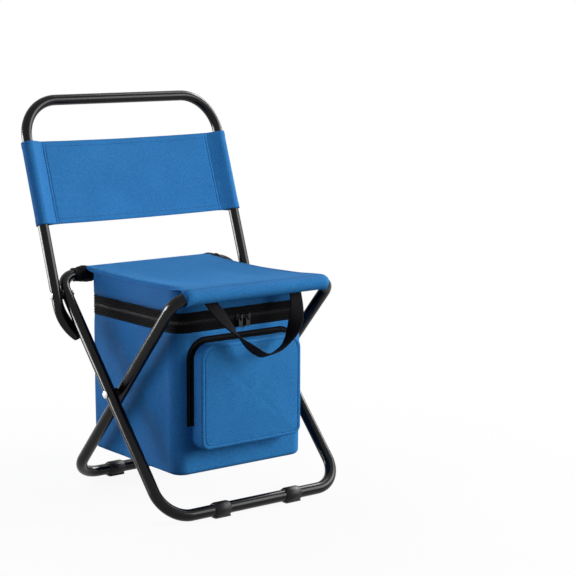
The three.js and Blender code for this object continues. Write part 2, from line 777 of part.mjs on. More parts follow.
// Lid: the seat panel, its skirt and its insulation
const lid = new THREE.Group();
stool.add(lid);
place(lid, 'seat_panel', seatPanel(), materials.blueFabric());
place(lid, 'lid_skirt', lidSkirt(), materials.blueFabric());
place(lid, 'lid_foam', lidFoam(), materials.foam());
place(lid, 'lid_foil', lidFoil(), materials.foil());
const upperTape = zipStrip(0, zipTapeThickness, zipHeight + fitClearance / 2, skirtBottom - fitClearance);
place(lid, 'lid_zip_upper_tape', upperTape, materials.blackWebbing());
place(lid, 'lid_zip_chain',
  zipStrip(chainOutset, zipChainThickness, zipHeight - zipChainWidth / 2, zipHeight + zipChainWidth / 2),
  materials.zipMetal());

// Tub: the bag below the zip, with its insulation, liner and pocket
const tub = new THREE.Group();
stool.add(tub);
const lowerTape = zipStrip(0, zipTapeThickness, tubRim + fitClearance, zipHeight - fitClearance / 2);
place(tub, 'lid_zip_lower_tape', lowerTape, materials.blackWebbing());
place(tub, 'cooler_shell', coolerShell(), materials.blueFabric());
const foamInset = shellWall + fitClearance;
place(tub, 'cooler_foam', tubLayer(foamInset, foamWall), materials.foam());
place(tub, 'cooler_liner', tubLayer(foamInset + foamWall + fitClearance, linerWall), materials.foil());
place(tub, 'pocket_cover', pocketCover(), materials.blueFabric());
place(tub, 'pocket_zip', pocketZip(), materials.blackWebbing());

// Zip sliders and their pulls
const lidSliderFace = bagFront - chainOutset - fitClearance;
for (const [side, sign] of sides) {
  const slider = new THREE.Group();
  slider.position.set(sign * sliderSpacing / 2, lidSliderFace, zipHeight);
  slider.rotation.y = sign > 0 ? Math.PI : 0;
  stool.add(slider);
  place(slider, `lid_zip_slider_${side}`, zipSlider(sliderLength, sliderHeight), materials.zipMetal());
  const pull = place(stool, `lid_zip_pull_${side}`, zipPull(), materials.zipMetal());
  pull.position.copy(slider.position);
}

const pocketSlider = new THREE.Group();
pocketSlider.position.set(
  pocketHalfWidth + fitClearance + pocketZipWidth / 2,
  pocketBack - pocketZipThickness - fitClearance,
  pocketTop - pocketZipLength + sliderLength);
stool.add(pocketSlider);
place(pocketSlider, 'pocket_zip_slider', zipSlider(sliderHeight, sliderLength), materials.zipMetal());
place(pocketSlider, 'pocket_zip_pull', zipPull(), materials.zipMetal());

const handle = place(stool, 'carry_handle', carryHandle(), materials.blackWebbing());
handle.position.set(0, -barReach, seatBarHeight);

// The origin is the middle of the open stool on the floor
stool.updateMatrixWorld(true);
const reach = new THREE.Box3().setFromObject(stool, true);
stool.position.y = -(reach.min.y + reach.max.y) / 2;

export default stool;
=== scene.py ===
"""Looks of the folding cooler stool: painted tube frame, sewn fabric seat, cooler bag and backrest."""
import json
import math

import bpy
import numpy as np
from mathutils import Matrix, Quaternion, Vector, noise


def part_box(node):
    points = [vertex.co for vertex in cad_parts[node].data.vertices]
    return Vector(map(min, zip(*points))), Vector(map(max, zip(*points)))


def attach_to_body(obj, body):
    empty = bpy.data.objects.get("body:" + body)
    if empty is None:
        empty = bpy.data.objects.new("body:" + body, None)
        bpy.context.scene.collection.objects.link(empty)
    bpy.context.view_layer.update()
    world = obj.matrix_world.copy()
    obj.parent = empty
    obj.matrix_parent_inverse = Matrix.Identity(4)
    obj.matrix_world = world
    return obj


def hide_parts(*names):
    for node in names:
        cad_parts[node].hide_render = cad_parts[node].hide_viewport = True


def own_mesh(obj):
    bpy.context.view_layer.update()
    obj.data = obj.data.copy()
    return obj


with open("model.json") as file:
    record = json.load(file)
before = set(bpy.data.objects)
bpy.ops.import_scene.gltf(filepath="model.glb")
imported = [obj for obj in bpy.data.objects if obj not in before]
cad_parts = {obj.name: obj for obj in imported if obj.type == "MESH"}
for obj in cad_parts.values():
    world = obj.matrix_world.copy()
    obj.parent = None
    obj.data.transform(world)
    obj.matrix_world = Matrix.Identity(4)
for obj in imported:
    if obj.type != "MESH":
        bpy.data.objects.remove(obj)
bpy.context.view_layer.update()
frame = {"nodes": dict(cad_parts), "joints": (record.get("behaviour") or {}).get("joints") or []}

# Lengths are in millimetres until a mesh is made, and angles in degrees
MM = 0.001
X_AXIS = np.array([1.0, 0.0, 0.0])
Y_AXIS = np.array([0.0, 1.0, 0.0])
Z_AXIS = np.array([0.0, 0.0, 1.0])
SIDES = (("left", -1), ("right", 1))

# Frame tubes
TUBE_RADIUS = 8.0
TUBE_SIDES = 32
BEND_STEP = 5.0
CURVE_STEPS = 16
SEAT_BEND = 24.0
FLOOR_BEND = 42.0
JOINT_INSET = 12.0
HOOP_GAP = 1.6
HOOP_BEND = 57.0
HOOP_HEIGHT = 280.0
HOOP_LEAN = 18.8
TAIL_LENGTH = 62.0
TAIL_FLATNESS = 0.6
TAIL_SPREAD = 1.45
TAIL_STRAIGHT = 10.0
TAIL_LEAD_IN = (-0.5, 0.35, 1.0)
TAIL_PRESS = (26.0, 60.0)
TAIL_ROUNDING = 3.0
TAIL_ROUNDING_STEPS = (0.35, 0.7, 0.9, 1.0)
TAIL_BLUNTNESS = 0.97
FIT_CLEARANCE = 0.3

# Fabric
CLOTH = 1.0
SEAT_ROLL = 10.3
EDGE_SAG = 4.0
MIDDLE_SAG = 5.0
HEM = 8.0
STITCH_INSET = 1.5
BAND_BOTTOM = 100.0
BAND_HEIGHT = 120.0
BAND_SEAM = 21.0
BAND_SAG = 6.0
BAND_WRAP = 9.0
BAG_CORNER = 18.0
REAR_CORNER = 6.0
BAG_EDGE = 15.0
BAG_HANG = 6.0
CLOTH_EDGE = 6.0
BAG_PUFF = 4.0
POCKET_PUFF = 2.5
BAG_WALL = 6.8
ZIP_REAR_LAP = 8.0
POCKET_TOP_RADIUS = 21.0
POCKET_BOTTOM_RADIUS = 12.0
POCKET_OVER = 0.6
POCKET_EDGE = 2.4
POCKET_ZIP_LENGTH = 110.0
POCKET_ZIP_WIDTH = 8.4
STRAP_WIDTH = 20.0
STRAP_THICKNESS = 2.0
STRAP_HALF_SPAN = 71.5
STRAP_DROP = 86.0
STRAP_REACH = 21.0
STRAP_SEWN_ANGLE = 36.0


def unit(vector):
    vector = np.asarray(vector, float)
    return vector / np.linalg.norm(vector)


def spun(vector, axis, degrees):
    """A vector turned about an axis."""
    return np.array(Quaternion(Vector(axis), math.radians(degrees)) @ Vector(vector))


def tilted(points, degrees, origin):
    """Points turned about the X axis and moved to an origin."""
    angle = math.radians(degrees)
    points = np.asarray(points, float)
    y = points[..., 1] * math.cos(angle) - points[..., 2] * math.sin(angle)
    z = points[..., 1] * math.sin(angle) + points[..., 2] * math.cos(angle)
    return np.stack([points[..., 0], y, z], -1) + origin


def smooth_step(value, start, end):
    share = np.clip((np.asarray(value, float) - start) / (end - start), 0, 1)
    return share * share * (3 - 2 * share)


def ripple(points, size, seed):
    """Smooth noise from -1 to 1 at each point, with lumps of about a given size."""
    flat = np.asarray(points, float).reshape(-1, 3) / size + seed
    values = [noise.noise(Vector(point)) for point in flat]
    return np.array(values).reshape(np.asarray(points).shape[:-1])


def run_length(points):
    """Distance walked along a line of points, at each of them."""
    return np.concatenate([[0], np.cumsum(np.linalg.norm(np.diff(points, axis=0), axis=1))])


def upright(flat, depth):
    """Places (X, Z) stood up at a depth Y."""
    return np.column_stack([flat[:, 0], np.full(len(flat), depth), flat[:, 1]])


def level(flat, height):
    """Places (X, Y) laid at a height Z."""
    return np.column_stack([flat, np.broadcast_to(height, len(flat))])


def drawn_in(ring, middle, scales):
    """Copies of a level ring drawn in towards its middle."""
    return np.array([middle + (ring - middle) * (scale, scale, 1) for scale in scales])


def sample(s, along, values):
    """Values given along a line, read at other places on it."""
    return np.stack([np.interp(s, along, column) for column in values.T], -1)


def weave(across, along):
    """Weave map of a grid, from a place across for each column and one along for each row."""
    return [[(u, v) for u in across] for v in along]


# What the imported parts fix
joints = {joint["name"]: joint for joint in frame["joints"]}


def joint_at(name):
    return np.array(joints[name]["pos_m"]) / MM


def low(node):
    return np.array(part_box(node)[0]) / MM


def high(node):
    return np.array(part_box(node)[1]) / MM


scissor = joint_at("leg_fold")
front_bar = joint_at("seat_follow")
rear_bar = np.array([0, 2 * scissor[1] - front_bar[1], front_bar[2]])
hoop_pivot = joint_at("backrest_fold")
half_leg = np.linalg.norm(front_bar - scissor)
leg_lean = math.degrees(math.atan2(scissor[1] - front_bar[1], front_bar[2] - scissor[2]))
inner_half = high("rear_leg_frame")[0] - TUBE_RADIUS
outer_half = high("front_leg_frame")[0] - TUBE_RADIUS
hoop_half = outer_half + 2 * TUBE_RADIUS + HOOP_GAP
seat_half = high("seat_panel")[0]
bag_half = high("cooler_liner")[0] + BAG_WALL
bag_front = low("cooler_liner")[1] - BAG_WALL
bag_rear = high("cooler_liner")[1] + BAG_WALL
bag_floor = low("cooler_shell")[2]
bag_bottom = bag_floor - BAG_HANG
bag_rim = high("cooler_liner")[2]
lid_rim = low("lid_skirt")[2]
zip_height = (bag_rim + lid_rim) / 2
pocket_half = high("pocket_cover")[0] + POCKET_OVER
pocket_low = low("pocket_cover")[2]
pocket_high = high("pocket_cover")[2]
pocket_front = low("pocket_cover")[1]


# Mesh making
SHARP_ANGLE = 55.0
CORNER_STEPS = 19
LAST_RING = 0.03


def new_object(name, points, faces, material, corner_uvs=None):
    """An object from points in millimetres, with an optional weave map in millimetres."""
    mesh = bpy.data.meshes.new(name)
    mesh.from_pydata((np.asarray(points, float).reshape(-1, 3) * MM).tolist(), [], faces)
    if corner_uvs is not None:
        layer = mesh.uv_layers.new(name="weave")
        layer.data.foreach_set("uv", np.asarray(corner_uvs, float).ravel())
    mesh.polygons.foreach_set("use_smooth", [True] * len(mesh.polygons))
    mesh.set_sharp_from_angle(angle=math.radians(SHARP_ANGLE))
    mesh.materials.append(material)
    piece = bpy.data.objects.new(name, mesh)
    bpy.context.scene.collection.objects.link(piece)
    return piece


def face_corners(rows, cols, wrap=False, capped=False, shut=False, looped=False):
    """Corners (row, column) of the faces over rows of points.

    Wrap closes each row, looped joins the last row to the first, capped closes both end rows
    and shut closes the last one only.
    """
    faces = []
    for row in range(rows if looped else rows - 1):
        for col in range(cols if wrap else cols - 1):
            faces.append([(row, col), (row, col + 1), (row + 1, col + 1), (row + 1, col)])
    if capped:
        faces.append([(0, col) for col in range(cols)][::-1])
    if capped or shut:
        faces.append([(rows - 1, col) for col in range(cols)])
    return faces


def grid(name, points, material, uv=None, **closing):
    """A mesh over rows of points, closed in the ways that face_corners names."""
    points = np.asarray(points, float)
    rows, cols = points.shape[:2]
    corners = face_corners(rows, cols, **closing)
    faces = [[(r % rows) * cols + c % cols for r, c in face] for face in corners]
    uvs = None if uv is None else [uv[r][c] for face in corners for r, c in face]
    return new_object(name, points, faces, material, uvs)


def thicken(piece, thickness, group=None, thin_share=0.5):
    """Give a sheet its thickness, with less outside a vertex group."""
    shell = piece.modifiers.new("thickness", "SOLIDIFY")
    shell.thickness = thickness * MM
    shell.offset = 0
    if group:
        shell.vertex_group = group
        shell.thickness_vertex_group = thin_share
    return piece


def mark(piece, name, weights):
    """A vertex group with one weight for each point."""
    group = piece.vertex_groups.new(name=name)
    for index, weight in enumerate(np.ravel(weights)):
        if weight > 0:
            group.add([index], float(weight), "REPLACE")
    return name


PUFF_FRAMES = 20
PUFF_PRESSURE = 4.0


def puff(piece, pinned, cap):
    """Swell a cloth piece by a cloth simulation that moves no point by more than a cap."""
    scene = bpy.context.scene
    before = np.array([point.co for point in piece.data.vertices])
    cloth = piece.modifiers.new("puff", "CLOTH")
    cloth.settings.vertex_group_mass = mark(piece, "pinned", pinned)
    cloth.settings.use_pressure = True
    cloth.settings.uniform_pressure_force = PUFF_PRESSURE
    cloth.settings.effector_weights.gravity = 0
    cloth.collision_settings.use_collision = False
    cloth.point_cache.frame_start = 1
    cloth.point_cache.frame_end = PUFF_FRAMES
    for index in range(1, PUFF_FRAMES + 1):
        scene.frame_set(index)
    swollen = piece.evaluated_get(bpy.context.evaluated_depsgraph_get())
    after = np.array([point.co for point in swollen.to_mesh().vertices])
    swollen.to_mesh_clear()
    piece.modifiers.remove(cloth)
    scene.frame_set(1)
    move = after - before
    length = np.maximum(np.linalg.norm(move, axis=1, keepdims=True), 1e-9)
    move *= cap * MM * np.tanh(length / (cap * MM)) / length
    piece.data.vertices.foreach_set("co", (before + move).ravel())
    piece.data.update()
    return piece


class Path:
    """Stations laid along lines, bends and curves."""

    def __init__(self, point, heading, normal):
        self.points = [np.array(point, float)]
        self.headings = [unit(heading)]
        self.normals = [unit(normal)]

    def step(self, point, heading):
        turn = Vector(self.headings[-1]).rotation_difference(Vector(heading))
        self.normals.append(np.array(turn @ Vector(self.normals[-1])))
        self.points.append(np.array(point, float))
        self.headings.append(unit(heading))
        return self

    def line(self, length):
        return self.step(self.points[-1] + length * self.headings[-1], self.headings[-1])

    def bend(self, axis, radius, degrees, each=BEND_STEP):
        heading = self.headings[-1]
        inward = np.cross(axis, heading)
        centre = self.points[-1] + radius * inward
        steps = max(2, round(abs(degrees) / each))
        for index in range(1, steps + 1):
            angle = degrees * index / steps
            self.step(centre - radius * spun(inward, axis, angle), spun(heading, axis, angle))
        return self

    def curve_to(self, end, heading):
        start, leave, arrive = self.points[-1], self.headings[-1], unit(heading)
        end = np.array(end, float)
        pull = np.linalg.norm(end - start) / 3
        near, far = start + pull * leave, end - pull * arrive
        for index in range(1, CURVE_STEPS + 1):
            t = index / CURVE_STEPS
            s = 1 - t
            point = s ** 3 * start + 3 * s * s * t * near + 3 * s * t * t * far + t ** 3 * end
            slope = s * s * (near - start) + 2 * s * t * (far - near) + t * t * (end - far)
            self.step(point, slope)
        return self

    def rings(self, radius, sides=TUBE_SIDES, flats=None, spreads=None):
        count = len(self.points)
        flats = np.ones(count) if flats is None else flats
        spreads = np.ones(count) if spreads is None else spreads
        angles = 2 * math.pi * np.arange(sides) / sides
        rows = []
        for index in range(count):
            normal = self.normals[index]
            across = np.cross(self.headings[index], normal)
            ring = np.outer(np.cos(angles) * flats[index], normal)
            ring += np.outer(np.sin(angles) * spreads[index], across)
            rows.append(self.points[index] + radius * ring)
        return np.array(rows)


def lathe(name, profile, origin, material):
    """A turned piece about the X axis from (distance along X, radius) pairs."""
    angles = 2 * math.pi * np.arange(TUBE_SIDES) / TUBE_SIDES
    rows = []
    for x, radius in profile:
        ring = np.column_stack([np.full(TUBE_SIDES, x), radius * np.cos(angles), radius * np.sin(angles)])
        rows.append(ring + origin)
    return grid(name, rows, material, wrap=True, capped=True)


class Outline:
    """A rounded box outline, measured along from the middle of its far side."""

    def __init__(self, left, right, near, far, near_radius, far_radius):
        corners = [
            (left + far_radius, far - far_radius, far_radius, 90),
            (left + near_radius, near + near_radius, near_radius, 180),
            (right - near_radius, near + near_radius, near_radius, 270),
            (right - far_radius, far - far_radius, far_radius, 0),
        ]
        points = [((left + right) / 2, far)]
        normals = [(0, 1)]
        for x, y, radius, start in corners:
            for angle in np.radians(np.linspace(start, start + 90, CORNER_STEPS)):
                normals.append((math.cos(angle), math.sin(angle)))
                points.append((x + radius * math.cos(angle), y + radius * math.sin(angle)))
        points.append(points[0])
        normals.append(normals[0])
        self.points = np.array(points)
        self.normals = np.array(normals)
        self.along = run_length(self.points)
        self.length = self.along[-1]

    def normal(self, s):
        return sample(s, self.along, self.normals)

    def at(self, s, outset=0.0):
        return sample(s, self.along, self.points) + self.normal(s) * np.asarray(outset)[..., None]

    def spaced(self, step):
        """Even stations with the corners' own stations kept."""
        even = np.arange(0, self.length, step)
        return np.unique(np.round(np.concatenate([even, self.along[:-1]]), 3))


def bead_shape(sides, rings):
    """Points and faces of a rounded bead along X, of half size one."""
    points = []
    for angle in math.pi * (np.arange(rings) + 0.5) / rings:
        radius = math.sin(angle) ** 0.5
        for turn in 2 * math.pi * np.arange(sides) / sides:
            points.append((-math.cos(angle), radius * math.cos(turn), radius * math.sin(turn)))
    corners = face_corners(rings, sides, wrap=True, capped=True)
    return np.array(points), [[r * sides + c % sides for r, c in face] for face in corners]


def beads(name, centres, along, outward, half_sizes, material, sides=8, rings=5):
    """Many small rounded beads in one mesh, each with its length along a direction."""
    shape, shape_faces = bead_shape(sides, rings)
    points = []
    faces = []
    for centre, direction, up in zip(centres, along, outward):
        direction = unit(direction)
        up = unit(up - np.dot(up, direction) * direction)
        basis = np.array([direction, np.cross(up, direction), up])
        offset = len(points) * len(shape)
        points.append(centre + (shape * half_sizes) @ basis)
        faces += [[offset + index for index in face] for face in shape_faces]
    return new_object(name, np.concatenate(points), faces, material)


class Seam:
    """Stitches gathered from several lines into one piece."""

    PITCH = 3.4
    REACH = 0.8
    HALF_SIZES = (1.25, 0.34, 0.26)

    def __init__(self):
        self.centres = []
        self.along = []
        self.outward = []

    def run(self, points, outward, lift=0.1):
        points = np.asarray(points, float)
        outward = np.broadcast_to(np.asarray(outward, float), points.shape)
        along = run_length(points)
        count = max(1, int(along[-1] / self.PITCH))
        for s in (np.arange(count) + 0.5) * along[-1] / count:
            ahead, behind = min(s + self.REACH, along[-1]), max(s - self.REACH, 0)
            up = unit(sample(s, along, outward))
            self.centres.append(sample(s, along, points) + lift * up)
            self.along.append(sample(ahead, along, points) - sample(behind, along, points))
            self.outward.append(up)
        return self

    def sew(self, name, material):
        return beads(name, self.centres, self.along, self.outward, self.HALF_SIZES, material, 6, 4)


def attach(piece, body, slot, *nodes, soft=False):
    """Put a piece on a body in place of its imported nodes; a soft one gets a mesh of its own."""
    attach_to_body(piece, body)
    if nodes:
        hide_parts(*nodes)
    if soft:
        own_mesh(piece)
    return piece


# Materials
TWILL_SLOPE = 0.75


class Nodes:
    """A node tree with short ways to add nodes and feed their sockets."""

    def __init__(self, owner):
        owner.use_nodes = True
        self.tree = owner.node_tree

    def feed(self, socket, value):
        if isinstance(value, bpy.types.NodeSocket):
            self.tree.links.new(value, socket)
        else:
            socket.default_value = value

    def node(self, kind, inputs=(), **settings):
        made = self.tree.nodes.new(kind)
        for key, value in settings.items():
            setattr(made, key, value)
        for key, value in inputs:
            self.feed(made.inputs[key], value)
        return made

    def maths(self, operation, first, second=0.0):
        inputs = [(0, first), (1, second)]
        return self.node("ShaderNodeMath", inputs, operation=operation).outputs[0]

    def scaled(self, value, low_in, high_in, low_out, high_out):
        inputs = [("Value", value), ("From Min", low_in), ("From Max", high_in),
                  ("To Min", low_out), ("To Max", high_out)]
        return self.node("ShaderNodeMapRange", inputs).outputs[0]

    def seen(self):
        """1 where a camera, glossy or transmitted ray looks."""
        path = self.node("ShaderNodeLightPath").outputs
        total = self.maths("MAXIMUM", path["Is Camera Ray"], path["Is Glossy Ray"])
        return self.maths("MAXIMUM", total, path["Is Transmission Ray"])

    def show(self, output, share, first, second):
        """Send a mix of two surfaces to an output node."""
        mixed = self.node("ShaderNodeMixShader", [(0, share), (1, first), (2, second)])
        self.feed(self.tree.nodes[output].inputs["Surface"], mixed.outputs[0])


class Shader(Nodes):
    """A Principled material with textures made from places and from the weave map."""

    def __init__(self, name, sockets):
        self.material = bpy.data.materials.new(name)
        super().__init__(self.material)
        self.surface = self.tree.nodes["Principled BSDF"]
        for socket, value in sockets.items():
            self.feed(self.surface.inputs[socket], value)
        self.places = self.node("ShaderNodeTexCoord").outputs["Object"]

    def noise(self, scale, detail=2.0):
        inputs = [("Vector", self.places), ("Scale", scale), ("Detail", detail)]
        return self.node("ShaderNodeTexNoise", inputs).outputs["Fac"]

    def colour(self, share, dark, light):
        """Base colour between two shades."""
        inputs = [(0, share), (6, dark + (1,)), (7, light + (1,))]
        mixed = self.node("ShaderNodeMix", inputs, data_type="RGBA")
        self.feed(self.surface.inputs["Base Color"], mixed.outputs[2])

    def roughness(self, value, low_in, high_in, low_out, high_out):
        self.feed(self.surface.inputs["Roughness"], self.scaled(value, low_in, high_in, low_out, high_out))

    def summed(self, *parts):
        """Sum of values, each brought from between its two limits to between 0 and its weight."""
        total = None
        for value, low_in, high_in, weight in parts:
            share = self.scaled(value, low_in, high_in, 0.0, weight)
            total = share if total is None else self.maths("ADD", total, share)
        return total

    def weave_axes(self):
        uv = self.node("ShaderNodeUVMap", uv_map="weave").outputs[0]
        axes = self.node("ShaderNodeSeparateXYZ", [(0, uv)])
        return axes.outputs[0], axes.outputs[1]

    def wave(self, value, pitch):
        return self.maths("SINE", self.maths("MULTIPLY", value, 2 * math.pi / pitch))

    def bump(self, height, strength, distance):
        inputs = [("Height", height), ("Strength", strength), ("Distance", distance * MM)]
        self.feed(self.surface.inputs["Normal"], self.node("ShaderNodeBump", inputs).outputs[0])


def paint():
    """Semi-gloss black powder coat with a fine orange peel."""
    shader = Shader("frame_paint", {"IOR": 1.5, "Specular IOR Level": 0.18})
    patches = shader.noise(30.0, 3.0)
    shader.colour(patches, (0.0025, 0.0025, 0.003), (0.006, 0.006, 0.007))
    shader.roughness(patches, 0.3, 0.7, 0.15, 0.23)
    shader.bump(shader.noise(900.0), 0.06, 0.2)
    return shader.material


def steel(name, tint, rough):
    """Metal with slightly darker and duller patches."""
    shader = Shader(name, {"Metallic": 1.0})
    patches = shader.noise(260.0, 4.0)
    shader.colour(patches, tuple(0.72 * value for value in tint), tint)
    shader.roughness(patches, 0.3, 0.7, rough, rough + 0.16)
    shader.bump(shader.noise(1500.0), 0.12, 0.1)
    return shader.material


def plastic():
    """Moulded black plastic with a leather-like grain and dusty high spots."""
    shader = Shader("black_plastic", {"IOR": 1.46, "Specular IOR Level": 0.22})
    grain = shader.noise(1400.0, 3.0)
    shader.colour(shader.noise(120.0, 3.0), (0.004, 0.004, 0.005), (0.011, 0.011, 0.012))
    shader.roughness(grain, 0.3, 0.7, 0.38, 0.56)
    shader.bump(grain, 0.25, 0.3)
    return shader.material


def woven(name, dark, light, pitch, rough, relief, sheen, sheen_tint):
    """Twill cloth: slanted floats over single threads, fibres, and slow changes of shade."""
    shader = Shader(name, {"IOR": 1.45, "Specular IOR Level": 0.04, "Sheen Weight": sheen,
                           "Sheen Roughness": 0.3, "Sheen Tint": sheen_tint + (1,)})
    across, along = shader.weave_axes()
    slant = shader.maths("SUBTRACT", along, shader.maths("MULTIPLY", across, TWILL_SLOPE))
    floats = shader.wave(slant, pitch)
    threads = shader.maths("MULTIPLY", shader.wave(across, pitch / 3), shader.wave(along, pitch / 3))
    fibres = shader.noise(2600.0)
    shade = shader.summed((floats, -1.0, 1.0, 0.36), (threads, -1.0, 1.0, 0.10),
                          (shader.noise(480.0), 0.3, 0.7, 0.32), (fibres, 0.25, 0.75, 0.08),
                          (shader.noise(18.0, 3.0), 0.3, 0.7, 0.12))
    shader.colour(shade, dark, light)
    shader.roughness(fibres, 0.25, 0.75, rough - 0.07, rough + 0.07)
    shader.bump(shader.summed((floats, -1.0, 1.0, 0.5), (threads, -1.0, 1.0, 0.5)), relief, 0.4)
    return shader.material


def webbing(name, dark, light, rib, rough):
    """Black webbing: ribs across the strap crossed by a slanted float."""
    shader = Shader(name, {"IOR": 1.45, "Specular IOR Level": 0.02, "Sheen Weight": 0.01,
                           "Sheen Roughness": 0.4})
    across, along = shader.weave_axes()
    slant = shader.maths("ADD", along, shader.maths("MULTIPLY", across, 0.7))
    ribs = shader.maths("MULTIPLY", shader.wave(slant, rib), shader.wave(across, rib * 1.3))
    fibres = shader.noise(2200.0)
    shade = shader.summed((ribs, -1.0, 1.0, 0.55), (fibres, 0.25, 0.75, 0.45))
    shader.colour(shade, dark, light)
    shader.roughness(fibres, 0.25, 0.75, rough - 0.08, rough + 0.08)
    shader.bump(shade, 0.5, 0.6)
    return shader.material


def thread():
    """Blue sewing thread, darker than the cloth."""
    shader = Shader("blue_thread", {"IOR": 1.45, "Roughness": 0.6, "Specular IOR Level": 0.2})
    twist = shader.noise(3000.0, 1.0)
    shader.colour(twist, (0.008, 0.050, 0.160), (0.020, 0.110, 0.300))
    shader.bump(twist, 0.4, 0.2)
    return shader.material


def foil():
    """Crinkled silver lining."""
    shader = Shader("foil", {"Metallic": 1.0})
    creases = shader.noise(140.0, 5.0)
    shader.colour(creases, (0.62, 0.63, 0.65), (0.88, 0.89, 0.90))
    shader.roughness(creases, 0.3, 0.7, 0.22, 0.42)
    shader.bump(creases, 0.55, 1.2)
    return shader.material


frame_paint = paint()
rivet_steel = steel("rivet_steel", (0.80, 0.79, 0.77), 0.22)
zip_metal = steel("zip_metal", (0.035, 0.035, 0.037), 0.34)
black_plastic = plastic()
blue_cloth = woven("blue_cloth", (0.018, 0.130, 0.370), (0.054, 0.330, 0.740), 3.0, 0.74, 0.4,
                   0.12, (0.10, 0.50, 0.85))
black_cloth = woven("black_cloth", (0.004, 0.004, 0.005), (0.014, 0.014, 0.016), 2.4, 0.7, 0.5,
                    0.05, (0.5, 0.5, 0.52))
black_tape = webbing("black_tape", (0.002, 0.002, 0.003), (0.011, 0.011, 0.012), 1.3, 0.62)
strap_web = webbing("strap_web", (0.004, 0.004, 0.005), (0.022, 0.022, 0.024), 1.9, 0.6)
blue_thread = thread()
silver_foil = foil()


# Frame tubes
def leg_path(half):
    run = 2 * half_leg - SEAT_BEND - FLOOR_BEND
    path = Path((half - SEAT_BEND - JOINT_INSET, 0, half_leg), X_AXIS, Y_AXIS)
    path.line(JOINT_INSET).bend(Y_AXIS, SEAT_BEND, 90).line(run).bend(Y_AXIS, FLOOR_BEND, 90)
    path.line(2 * (half - FLOOR_BEND)).bend(Y_AXIS, FLOOR_BEND, 90).line(run)
    return path.bend(Y_AXIS, SEAT_BEND, 90).line(JOINT_INSET)


def hoop_rings():
    """The backrest hoop with pressed tails, closed by rounded ends."""
    lean = leg_lean - HOOP_LEAN
    stop = TUBE_RADIUS * (1 + TAIL_FLATNESS) + FIT_CLEARANCE
    tail = spun((-outer_half, stop, -TAIL_LENGTH), X_AXIS, -lean)
    lead_in = unit(spun(TAIL_LEAD_IN, X_AXIS, -lean))
    mirror = np.array([-1.0, 1.0, 1.0])
    run = HOOP_HEIGHT - HOOP_BEND + TAIL_STRAIGHT
    path = Path(tail, lead_in, spun(-Y_AXIS, X_AXIS, -lean))
    path.curve_to((-hoop_half, 0, -TAIL_STRAIGHT), Z_AXIS).line(run).bend(Y_AXIS, HOOP_BEND, 90)
    path.line(2 * (hoop_half - HOOP_BEND)).bend(Y_AXIS, HOOP_BEND, 90).line(run)
    path.curve_to(tail * mirror, -lead_in * mirror)
    points = np.array(path.points)
    from_end = np.minimum(np.linalg.norm(points - tail, axis=1),
                          np.linalg.norm(points - tail * mirror, axis=1))
    press = 1 - smooth_step(from_end, *TAIL_PRESS)
    flats, spreads = 1 + (TAIL_FLATNESS - 1) * press, 1 + (TAIL_SPREAD - 1) * press
    rings = path.rings(TUBE_RADIUS, flats=flats, spreads=spreads)
    first, last = [], []
    for share in TAIL_ROUNDING_STEPS:
        shrink = math.sqrt(1 - (share * TAIL_BLUNTNESS) ** 2)
        reach = TAIL_ROUNDING * share
        first.insert(0, points[0] + (rings[0] - points[0]) * shrink - path.headings[0] * reach)
        last.append(points[-1] + (rings[-1] - points[-1]) * shrink + path.headings[-1] * reach)
    return np.concatenate([first, rings, last])


def on_hoop(points):
    """Points in the hoop's own axes brought to their place on the stool."""
    return tilted(points, -HOOP_LEAN, hoop_pivot)


def painted_tube(name, rings, body, node):
    attach(grid(name, rings, frame_paint, wrap=True, capped=True), body, "frame_paint", node)


painted_tube("rear_leg_tube", tilted(leg_path(inner_half).rings(TUBE_RADIUS), leg_lean, scissor),
             "rear_legs", "rear_leg_frame")
painted_tube("front_leg_tube", tilted(leg_path(outer_half).rings(TUBE_RADIUS), -leg_lean, scissor),
             "front_legs", "front_leg_frame")
painted_tube("hoop_tube", on_hoop(hoop_rings()), "backrest", "backrest_hoop")


# Rivets, spacers and feet
RIVET_SHANK = 2.5
RIVET_HEAD = 5.5
RIVET_DOME = 3.0
RIVET_EDGE = 0.5
RIVET_CHAMFER = 0.3
UPSET_SHARE = 0.75
UPSET_PROFILE = [(1.5, 0.6), (1.45, 0.8), (1.1, 1.0), (0.0, 1.0)]
FOOT_RADIUS = 10.2
FOOT_LIP_RADIUS = 9.3
FOOT_LENGTH = 26.0
FOOT_LIP = 3.0
FOOT_SPACING = 120.0
FOOT_SOLE_HALF = 6.0
FOOT_ARC = (-60, 240)
FOOT_ARC_STEPS = 41
FOOT_SOLE_STEPS = 9
FOOT_CHAMFER = 0.5
FOOT_LIP_CHAMFER = 0.6
FOOT_LIP_RISE = 0.1
FOOT_LIP_RUN = 0.3


def rivet_profile(inner_centre, outer_centre):
    """An upset end inside, a shank and a domed head outside, as (distance along X, radius) pairs."""
    start = inner_centre - TUBE_RADIUS - FIT_CLEARANCE
    end = outer_centre + TUBE_RADIUS + FIT_CLEARANCE
    upset = UPSET_SHARE * RIVET_HEAD
    profile = [(start - rise, share * upset) for rise, share in UPSET_PROFILE]
    profile += [(start, RIVET_SHANK), (end, RIVET_SHANK)]
    profile += [(end, RIVET_HEAD - RIVET_CHAMFER), (end + RIVET_CHAMFER, RIVET_HEAD)]
    for angle in np.radians(range(10, 90, 10)):
        rise = RIVET_EDGE + (RIVET_DOME - RIVET_EDGE) * math.sin(angle)
        profile.append((end + rise, RIVET_HEAD * math.cos(angle)))
    return profile


